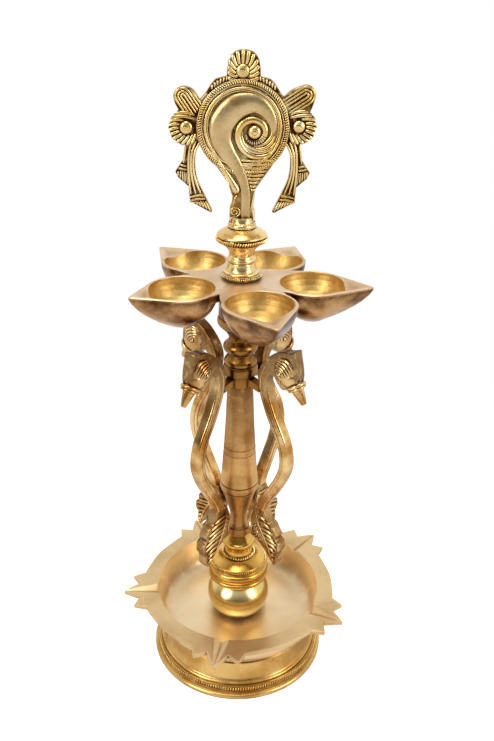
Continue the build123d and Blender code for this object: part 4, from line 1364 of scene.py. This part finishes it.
    def rims(self, side: int) -> list[Object]:
        """The rope ring, the smooth inner rings and the milled left edge on one face."""
        face = side * self.thickness / 2
        rope = bead_ring("emblem_rope", 19.35, 0.0, (1.05, 0.5, 0.72), 118, 0.0)
        for vertex in rope.data.vertices:
            out = math.hypot(vertex.co.x, vertex.co.y)
            lean = math.atan2(vertex.co.y, vertex.co.x) + (out / MM - 19.35) * 0.02
            vertex.co.x, vertex.co.y = out * math.cos(lean), out * math.sin(lean)
        rope.rotation_euler = (math.pi / 2, 0, 0)
        rope.location = (0, face * MM, self.middle * MM)
        rings = Relief("emblem_rings", face, 0.9, 4)
        for radius, width in ((20.25, 0.32), (18.25, 0.3), (16.75, 0.72), (15.75, 0.36)):
            rings.loop((0, self.middle), radius, width)
        milled = Relief("emblem_milled", face, 0.8, 3)
        edge = flowing([(-16.2, 288.4), (-12.6, 284.4), (-9.1, 279.4), (-6.5, 275.2), (-5.1, 272.6)], 7)
        for a, b in zip(edge, edge[1:]):
            out = across(a, b) * 0.7
            milled.ridge([(a[0] - out.x, a[1] - out.y + 0.3), (a[0] + out.x, a[1] + out.y - 0.3)], 0.42, 0.8)
        return [
            stain_sides(settle(rope), 0.0, 0.75),
            stain_sides(rings.make()),
            stain_sides(milled.make(), 0.0, 0.8),
        ]

    def round_eye(self, rows: tuple[Point, ...]) -> list[Point]:
        """Points round the conch's eye, from (angle, radius) rows."""
        return [polar(radius, angle, self.eye) for angle, radius in rows]

    def whorls(self, side: int) -> list[Object]:
        """The whorls round the eye, with fine ticks across them, on one face."""
        face = side * self.thickness / 2
        bands = Relief("conch_whorls", face, 0.72, 5)
        # The whorl winds out from under the eye, over it, down its left side and under the others
        bands.swell(
            self.round_eye(self.whorl),
            [0.4, 1.05, 1.2, 1.3, 1.45, 1.6, 1.65, 1.75, 1.75, 1.7, 1.6, 1.5, 1.35, 1.2, 1.0, 0.6],
        )
        for rows, widths in self.windings:
            bands.swell(self.round_eye(rows), list(widths))
        ticks = Relief("conch_ticks", face + side * 0.82, 0.9, 2)
        for angle in (*range(228, 340, 12), *range(470, 560, 9)):
            radius = float(np.interp(angle, (232, 270, 360, 450, 515, 566), (4.3, 4.5, 4.7, 5.0, 6.4, 7.9)))
            half = 0.85 if angle < 400 else 1.1
            ticks.ridge(self.round_eye(((angle, radius - half), (angle, radius + half))), 0.24, 1.0)
        dots = Relief("conch_eye_ring", face + side * 2.0, 0.7, 2)
        dots.loop(self.eye, 1.05, 0.32)
        x, z = self.eye
        return [
            stain_sides(bands.make(), 0.0, 0.9),
            stain_sides(ticks.make(), 1.0),
            stain_sides(dots.make(), 0.3),
            stain_sides(knob("conch_eye", (x, face + side * 0.5, z), (2.95, 1.7, 2.95)), 0.0, 0.9),
        ]

    def conch(self, side: int) -> list[Object]:
        """The conch on one face: its swelling body, whorls, lip and ridged spire."""
        face = side * self.thickness / 2
        body = Relief("conch_body", face - side * 0.2, 0.36, 8)
        body.swell(
            [
                (12.9, 294.6), (13.2, 299.2), (10.2, 304.7), (4.9, 307.9), (-3.0, 306.4), (-9.0, 299.8),
                (-9.6, 292.6), (-6.8, 286.6), (-3.2, 281.4), (-0.5, 276.4), (1.0, 271.6), (1.6, 266.0),
                (1.4, 260.4), (1.9, 255.6),
            ],
            [0.5, 1.9, 3.2, 4.3, 5.7, 5.8, 4.9, 3.9, 3.1, 2.5, 2.2, 2.2, 2.2, 2.1],
        )
        lip = Relief("conch_lip", face, 0.75, 5)
        lip.swell(
            [
                (-15.3, 290.6), (-13.2, 286.9), (-10.4, 282.6), (-7.6, 278.4), (-5.2, 274.6), (-3.5, 271.6),
                (-2.9, 270.4),
            ],
            [0.35, 0.6, 0.75, 0.95, 1.3, 1.7, 1.8],
        )
        spire = Relief("conch_spire", face, 1.0, 3)
        for share in (i / 8 for i in range(9)):
            z, left, right = 283.6 - 13.0 * share, -0.6 + 4.6 * share, 14.3 - 8.9 * share
            spire.ridge([(left, z), ((left + right) / 2, z - 0.35), (right, z + 0.25)], 0.68, 0.6)
        lines = Relief("conch_stem_lines", face, 0.8, 3)
        lines.ridge([(4.8, 255.4), (5.3, 258.6), (4.5, 262.6), (5.0, 266.6), (5.4, 269.6)], 0.5, 0.5)
        lines.swell(spiral((-3.4, 260.2), (2.6, 0.35), (-90, 560), 26), [0.5, 0.3])
        lines.ridge([(-4.7, 255.0), (-5.2, 257.0), (-3.2, 258.0)], 0.5, 0.5)
        lines.ridge([(-4.2, 263.2), (-3.5, 266.0), (-2.4, 268.0)], 0.45, 0.5)
        return [
            stain_sides(body.make()),
            *self.whorls(side),
            stain_sides(lip.make(), 0.0, 0.9),
            stain_sides(knob("conch_lip_end", (-2.9, face, 270.2), (1.8, 1.35, 1.8)), 0.0, 0.9),
            stain_sides(spire.make()),
            stain_sides(lines.make()),
        ]

    def bosses(self, side: int) -> list[Object]:
        """The crest's and the shells' bosses, each with a scroll cut in it."""
        parts = []
        for (x, z), size in zip((self.crest_boss, *self.shell_bosses), (3.1, 3.0, 2.8)):
            parts.append(stain_sides(knob("emblem_boss", (x, side * 1.6, z), (size, 1.55, size)), 0.1))
            scroll = Relief("emblem_boss_scroll", side * 3.0, 0.6, 3)
            scroll.swell(spiral((x, z), (size * 0.55, 0.2), (150, -330), 16), [0.28] * 16)
            parts.append(stain_sides(scroll.make()))
        return parts

    def build(self) -> None:
        """Makes the emblem and joins it."""
        parts = self.plates()
        parts.append(stain(turn("emblem_collar", self.collar, 72), 0.1))
        parts.append(stain(bead_ring("emblem_dots", 6.0, 254.9, (0.4, 0.55, 0.42), 26, 0.0), 0.0, 0.3))
        for side in (-1, 1):
            for carve in (self.fans, self.ribbons, self.rims, self.conch, self.bosses):
                parts += carve(side)
        for part in parts:
            dress(part, CONCH if part.name.startswith("conch_body") else CARVED)
        fit(join("conch_emblem_cast", parts), "finial", "conch_emblem")


# Swans


@dataclass
class Swan:
    """One flat cast swan, modelled in the XZ plane and then turned to its azimuth.

    Its outlines are shares of its reach and height.
    """

    flower_side: int
    pad: float = 14.2
    reach: float = 28.2
    foot: float = 70.0
    height: float = 131.4
    thickness: float = 6.2
    dome: Triple = (7.9, 5.0, 9.1)
    line: tuple[Point, ...] = (
        (0.33, 0.925), (0.19, 0.893), (0.1, 0.85), (0.115, 0.79), (0.29, 0.695), (0.53, 0.6), (0.625, 0.51),
        (0.546, 0.435), (0.355, 0.355), (0.152, 0.279), (0.03, 0.19),
    )
    neck: tuple[Row, ...] = (
        (0.106, 0.75, 1), (0.03, 0.791), (-0.01, 0.833), (0.0, 0.864), (0.09, 0.905), (0.3, 0.951),
        (0.5, 0.975), (0.62, 0.977), (0.775, 0.99, 1), (0.8, 0.96), (0.84, 0.921), (0.855, 0.887),
        (0.82, 0.862), (0.635, 0.832), (0.543, 0.824), (0.43, 0.842), (0.32, 0.868), (0.2, 0.845),
        (0.18, 0.799), (0.22, 0.755, 1),
    )
    tail: tuple[Point, ...] = (
        (-0.057, 0.251), (-0.145, 0.196), (-0.1135, 0.145), (-0.1135, 0.095), (0.03, 0.091), (0.259, 0.057),
        (0.48, 0.0), (0.55, 0.025), (0.525, 0.061), (0.6, 0.084), (0.585, 0.118), (0.49, 0.126),
        (0.52, 0.152), (0.42, 0.183), (0.312, 0.187), (0.27, 0.213), (0.19, 0.251),
    )
    tail_edge: tuple[Point, ...] = ((-0.04, 0.235), (-0.1, 0.194), (-0.08, 0.145), (-0.08, 0.108))
    feather_tips: tuple[Point, ...] = (
        (0.3, 0.2), (0.39, 0.179), (0.455, 0.155), (0.475, 0.131), (0.55, 0.113), (0.56, 0.092),
        (0.505, 0.071), (0.5, 0.05), (0.49, 0.028),
    )
    # The feathers' spine on the side with the flower, and on the other side
    spines: tuple[tuple[Point, ...], ...] = (
        ((0.02, 0.222), (0.1, 0.174), (0.2, 0.138), (0.31, 0.1), (0.41, 0.05), (0.475, 0.012)),
        ((-0.04, 0.214), (0.0, 0.18), (0.06, 0.148), (0.17, 0.102), (0.3, 0.056), (0.44, 0.014)),
    )

    def at(self, x: float, z: float) -> Point:
        """A point from its shares of the swan's reach and height."""
        return self.pad + x * self.reach, self.foot + z * self.height

    def spots(self, rows: tuple[Row, ...]) -> list[Row]:
        """Points from rows of shares, with the corner marks kept."""
        return [(*self.at(x, z), *mark) for x, z, *mark in rows]

    def age(self, obj: Object, low: float, high: float, amount: float) -> Object:
        """Adds patina that rises with height.

        Args:
            obj: the part.
            low: where it begins, as a share of the swan's height.
            high: where it is full.
            amount: how much is added there.

        Returns:
            The same part.
        """
        share = (points_of(obj.data)[:, 2] / MM - self.foot) / self.height
        add_patina_and_shade(obj, amount * np.clip((share - low) / (high - low), 0, 1))
        return obj

    def plates(self) -> list[Object]:
        """The bar, the neck and the tail."""
        line = flowing(self.spots(self.line), 5)
        bar = plate("swan_bar", sides_of(line, 2.75) + sides_of(line, -2.75)[::-1], self.thickness, 1.25)
        neck = plate("swan_neck", flowing(self.spots(self.neck), 4), self.thickness + 0.06, 1.3)
        tail = plate("swan_tail", self.spots(self.tail), self.thickness, 0.8)
        return [
            self.age(stain(bar, 0.0, 0.5), 0.66, 0.88, 0.7), self.age(stain(neck, 0.1, 0.5), 0.74, 0.9, 0.65),
            stain(tail, 0.5, 0.3),
        ]

    def face(self, side: int, head: Point) -> list[Object]:
        """Eye, brow and crest lines on one side of the head."""
        wide, deep, tall = self.dome
        lines = Relief("swan_face", side * 0.001, 0.8, 3)
        eye = (head[0] - 1.3, head[1] - 0.9)
        lines.ridge(placed([(-2.9, 1.5), (-0.4, 1.8), (2.0, 0.1), (3.2, -2.4)], eye), 0.42, 0.4)
        lines.ridge(placed([(-2.9, 1.4), (-1.9, -1.1), (0.6, -2.4), (3.2, -2.5)], eye), 0.4, 0.4)
        for along, up in ((0.8 * i, 1.36 * i) for i in range(4)):
            brow = [
                (along - 4.9, 2.5 + up * 0.75), (along - 1.6, 2.2 + up), (along + 1.4, 0.6 + up),
                (along * 0.8 + 3.4, up - 2.3),
            ]
            lines.swell(placed(brow, head), [0.3, 0.66, 0.74, 0.74, 0.6, 0.2])
        lines.ridge(placed([(-5.4, -1.8), (-5.0, -4.6), (-2.9, -6.6), (0.2, -7.4)], head), 0.4, 0.3)
        surface = side * deep * math.sqrt(1 - (1.3 / wide) ** 2 - (0.9 / tall) ** 2)
        return [
            stain_sides(lines.make((*head, *self.dome))),
            stain_sides(knob("swan_eye", (eye[0], surface, eye[1] - 0.4), (0.95, 0.6, 0.95))),
        ]

    def beak(self) -> list[Object]:
        """The tapering beak and the two rings at its root."""
        deselect()
        bpy.ops.mesh.primitive_cone_add(vertices=8, radius1=4.25 * MM, radius2=1.5 * MM, depth=11.0 * MM)
        edit_all()
        bpy.ops.transform.resize(value=(1.05, 0.85, 1.0))
        bpy.ops.transform.translate(value=(0, 0, 4.6 * MM))
        parts = [bevelled(close_edit("swan_beak", 25), 0.35, 2, 20)]
        for name, major, minor, along in (
            ("swan_beak_ring", 4.3, 0.8, 0.2), ("swan_beak_band", 4.0, 0.55, 1.6),
        ):
            deselect()
            bpy.ops.mesh.primitive_torus_add(
                major_segments=32, minor_segments=10, major_radius=major * MM, minor_radius=minor * MM,
            )
            edit_all()
            bpy.ops.transform.resize(value=(1.08, 0.98, 1.1))
            bpy.ops.transform.translate(value=(0, 0, along * MM))
            parts.append(close_edit(name, ROUND_SMOOTH))
        x, z = self.at(0.755, 0.85)
        for part in parts:
            part.rotation_euler = (0, math.radians(147), 0)
            part.location = (x * MM, 0, z * MM)
            settle(part)
        return parts

    def flower(self, side: int, lines: Relief) -> Object:
        """Draws the tail's flower with the scales beside it, and makes its middle."""
        middle = self.at(0.085, 0.132)
        for angle in range(0, 360, 36):
            lines.swell([polar(1.2, angle, middle), polar(2.9, angle, middle)], [0.4, 0.75, 0.85, 0.5])
        for angle in range(115, 325, 30):
            lines.ridge([polar(3.9, angle, middle), polar(4.7, angle, middle)], 0.75, 0.8)
        x, z = middle
        return stain_sides(knob("swan_flower", (x, side * self.thickness / 2, z), (1.15, 1.0, 1.15)))

    def feathers(self, side: int) -> list[Object]:
        """Feathers along a spine on one side of the tail, with a flower beside it on one of the two."""
        lines = Relief("swan_feathers", side * self.thickness / 2, 0.85, 3)
        flowered = side == self.flower_side
        line = [Vector(spot) for spot in flowing(self.spots(self.spines[0 if flowered else 1]), 6)]
        lines.ridge([tuple(spot) for spot in line[::5]], 0.75, 0.4)

        def feather(place: float, end: Point | None, run: Point, bow: Point, widths: list[float]) -> None:
            """Draws one from a share of the spine's length, to an end or for a run, bowed in its middle."""
            base = line[round((len(line) - 1) * place)]
            tip = Vector(end) if end else base + Vector(run)
            lines.swell([tuple(base), tuple(base.lerp(tip, 0.5) + Vector(bow)), tuple(tip)], widths)

        last = len(self.feather_tips) - 1
        for i, tip in enumerate(self.feather_tips):
            widths = [0.45, 0.85, 1.05, 1.1, 0.7]
            feather(0.04 + 0.84 * i / last, self.at(*tip), (0.0, 0.0), (0.3, 0.45), widths)
        lines.ridge(self.spots(self.tail_edge), 0.6, 0.5)
        made = [self.flower(side, lines)] if flowered else []
        for i in range(0 if flowered else 6):
            run = (-1.5 * (1 - 0.09 * i), -2.7 * (1 - 0.09 * i))
            feather(0.06 + 0.1 * i, None, run, (-0.3, 0.2), [0.4, 0.7, 0.75, 0.75, 0.45])
        return [stain_sides(lines.make()), *made, self.bar_marks(side)]

    def bar_marks(self, side: int) -> Object:
        """The raised line along the bar and the milled marks beside it, on one side."""
        marks = Relief("swan_bar_marks", side * self.thickness / 2, 1.0, 2)
        line = flowing(self.spots((*self.line[1:9], (0.2, 0.295))), 6)
        marks.ridge(sides_of(line, 0.7)[::3], 0.34, 0.5)
        for place in (14.0 + i * 0.5 for i in range(18)):
            a, b = line[int(place)], line[int(place) + 1]
            spot, out = Vector(a).lerp(Vector(b), place % 1), across(a, b)
            marks.ridge([tuple(spot - out * 0.1), tuple(spot - out * 1.5)], 0.22, 0.8)
        return stain_sides(marks.make(), 0.0, 0.8)

    def build(self) -> Object:
        """Makes the swan once, in its own plane."""
        parts = self.plates()
        x, z = self.at(0.575, 0.903)
        bare = [
            knob("swan_head", (x, 0.0, z), self.dome),
            knob("swan_cheek", (x + 2.0, 0.0, z - 3.6), (6.0, 5.0, 6.2)),
        ]
        carved = [part for side in (-1, 1) for part in self.face(side, (x, z)) + self.feathers(side)]
        beak = self.beak()
        for part in bare + beak:
            self.age(stain(part, 0.1, 0.35), 0.87, 0.955, 0.75)
        return dress(join("swan", parts + bare + carved + beak), SWAN)


def build_swans() -> None:
    """Makes the front and the back pair's swan once each and sets a copy of it at each azimuth."""
    for flower_side, places in (
        (-1, (("swan_front_right", -41.4), ("swan_front_left", 228.6))),
        (1, (("swan_back_right", 48.6), ("swan_back_left", 138.6))),
    ):
        model = Swan(flower_side).build()
        for name, azimuth in places:
            piece = copy_of(model, name + "_cast")
            piece.rotation_euler = (0, 0, math.radians(azimuth))
            fit(settle(piece), "stem", name)
        bpy.data.objects.remove(model)


# Studio


def grey(level: float) -> tuple[float, float, float, float]:
    """A grey of a linear level."""
    return level, level, level, 1.0


@dataclass
class Studio:
    """The pale floor, the lamps, the world and the camera."""

    eye: Triple = (0.0, -0.36772, 0.35897)
    yaw: float = 0.52
    pitch: float = 26.21
    roll: float = 0.85
    lens: float = 26.197
    sensor: float = 24.0
    floor_radius: float = 6.0
    shadow_reach: Point = (0.11, 0.42)
    mirror_reach: Point = (0.1, 0.6)
    lift: float = 0.66
    ambient: float = 0.16
    front_edge: Point = (0.3, -0.25)
    card_edge: Point = (0.9, 0.62)
    # Brightness of the backdrop and of the dim room, by height
    backdrop: tuple[Point, ...] = ((0.0, 1.0), (0.66, 1.0), (0.85, 0.72), (1.0, 0.55))
    room: tuple[Point, ...] = ((0.0, 0.07), (0.15, 0.12), (0.45, 0.22), (0.65, 0.5), (1.0, 0.7))
    # Each lamp's name, place, size and power
    lamps: tuple[tuple[str, Triple, float, float], ...] = (
        ("soft_left", (-1.0, -0.85, 0.8), 0.8, 11.0),
        ("soft_right", (1.05, -0.65, 0.65), 0.7, 8.0),
        ("soft_top", (-0.1, -0.25, 1.4), 0.8, 8.0),
    )
    aim: Triple = (0.0, 0.0, 0.16)

    def place_camera(self) -> None:
        """Places the camera at the photograph's own angle."""
        deselect()
        bpy.ops.object.camera_add(location=self.eye)
        camera = bpy.context.object
        camera.name = "photo_camera"
        yaw, pitch = math.radians(self.yaw), math.radians(self.pitch)
        forward = Vector((math.sin(yaw) * math.cos(pitch), math.cos(yaw) * math.cos(pitch), -math.sin(pitch)))
        turn_to = forward.to_track_quat("-Z", "Y").to_matrix()
        camera.rotation_euler = (turn_to @ Matrix.Rotation(math.radians(self.roll), 3, "Z")).to_euler()
        camera.data.sensor_fit = "VERTICAL"
        camera.data.sensor_height = self.sensor
        camera.data.lens = self.lens
        camera.data.clip_start = 0.01
        bpy.context.scene.camera = camera

    def lay_floor(self) -> None:
        """The pale floor: it keeps the shadow near the lamp and fades into the white backdrop."""
        deselect()
        bpy.ops.mesh.primitive_circle_add(vertices=64, radius=self.floor_radius, fill_type="NGON")
        floor = bpy.context.object
        floor.name = "floor"
        floor.data.materials.append(bpy.data.materials.new("pale_floor"))
        graph = Graph(floor.data.materials[0])
        shader = graph.nodes["Principled BSDF"]
        graph.feed(shader.inputs["Base Color"], grey(0.94))
        graph.feed(shader.inputs["Roughness"], 0.9)
        away = graph.add("VectorMath", {0: graph.place()}, "Value", operation="LENGTH")
        rays = graph.node("LightPath", {}).outputs
        mirrored = graph.math("MAXIMUM", rays["Is Glossy Ray"], rays["Is Transmission Ray"])
        seen = graph.math("MULTIPLY", graph.rise(away, self.shadow_reach), rays["Is Camera Ray"])
        shown = graph.math("MULTIPLY", graph.rise(away, self.mirror_reach), mirrored)
        lift = graph.add("Emission", {"Strength": graph.math("MULTIPLY", rays["Is Camera Ray"], self.lift)})
        near = graph.add("AddShader", {0: shader.outputs[0], 1: lift})
        mix = {0: graph.math("MAXIMUM", seen, shown), 1: near, 2: graph.add("Emission", {})}
        graph.feed(graph.nodes["Material Output"].inputs["Surface"], graph.add("MixShader", mix))

    def light_room(self) -> None:
        """A white backdrop, and for the metal's reflections a dim room on the camera's side."""
        world = bpy.data.worlds.new("studio_room")
        bpy.context.scene.world = world
        graph = Graph(world)
        rays = graph.node("LightPath", {}).outputs
        split = graph.node("SeparateXYZ", {0: graph.place("Generated")}).outputs

        def by_height(levels: tuple[Point, ...]) -> Socket:
            """Brightness by height, from (height, level) rows."""
            node = graph.node("ValToRGB", {0: split["Z"]})
            ramp = node.color_ramp
            ramp.interpolation = "EASE"
            for element, (position, level) in zip(list(ramp.elements), (levels[0], levels[-1])):
                element.position = position
                element.color = grey(level)
            for position, level in levels[1:-1]:
                ramp.elements.new(position).color = grey(level)
            return node.outputs[0]

        front, card = graph.rise(split["Y"], self.front_edge), graph.rise(split["X"], self.card_edge)
        dim = graph.math("MULTIPLY", front, card)
        room = graph.blend(dim, by_height(self.backdrop), by_height(self.room))
        lit = graph.blend(rays["Is Diffuse Ray"], room, grey(self.ambient))
        backdrop = graph.blend(rays["Is Camera Ray"], lit, grey(1.0))
        graph.feed(graph.nodes["Background"].inputs["Color"], backdrop)

    def hang_lamps(self) -> None:
        """Two tall soft boxes beside the camera and one above."""
        for name, spot, size, power in self.lamps:
            deselect()
            bpy.ops.object.light_add(type="AREA", location=spot)
            lamp = bpy.context.object
            lamp.name = name
            lamp.data.shape = "ELLIPSE"
            lamp.data.size = size * 0.75
            lamp.data.size_y = size * 1.3
            lamp.data.energy = power
            lamp.rotation_euler = (Vector(self.aim) - Vector(spot)).to_track_quat("-Z", "Y").to_euler()

    def build(self) -> None:
        """Sets up everything round the object."""
        self.place_camera()
        self.lay_floor()
        self.light_room()
        self.hang_lamps()
        bpy.context.scene.view_settings.view_transform = "Standard"


# Each finish left on the frame's own pieces
KEPT_PIECES = {
    SHAFT: ("lower_collar",),
    DARK: ("upper_collar",),
    STEEL: ("base_stud", "base_washer", "base_nut", "stem_stud", "finial_stud"),
    FIBRE: ("stem_washer", "finial_washer"),
}


def main() -> None:
    """Builds the lamp round the frame, piece by piece."""
    logging.basicConfig(level=logging.INFO, format="%(name)s: %(message)s")
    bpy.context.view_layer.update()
    Studio().build()
    for piece in TURNED_PIECES:
        piece.build()
    OilTray().build()
    CupPlate().build()
    ConchEmblem().build()
    build_swans()
    for finish, names in KEPT_PIECES.items():
        for name in names:
            dress(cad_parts[name], finish)


if __name__ == "__main__":
    main()
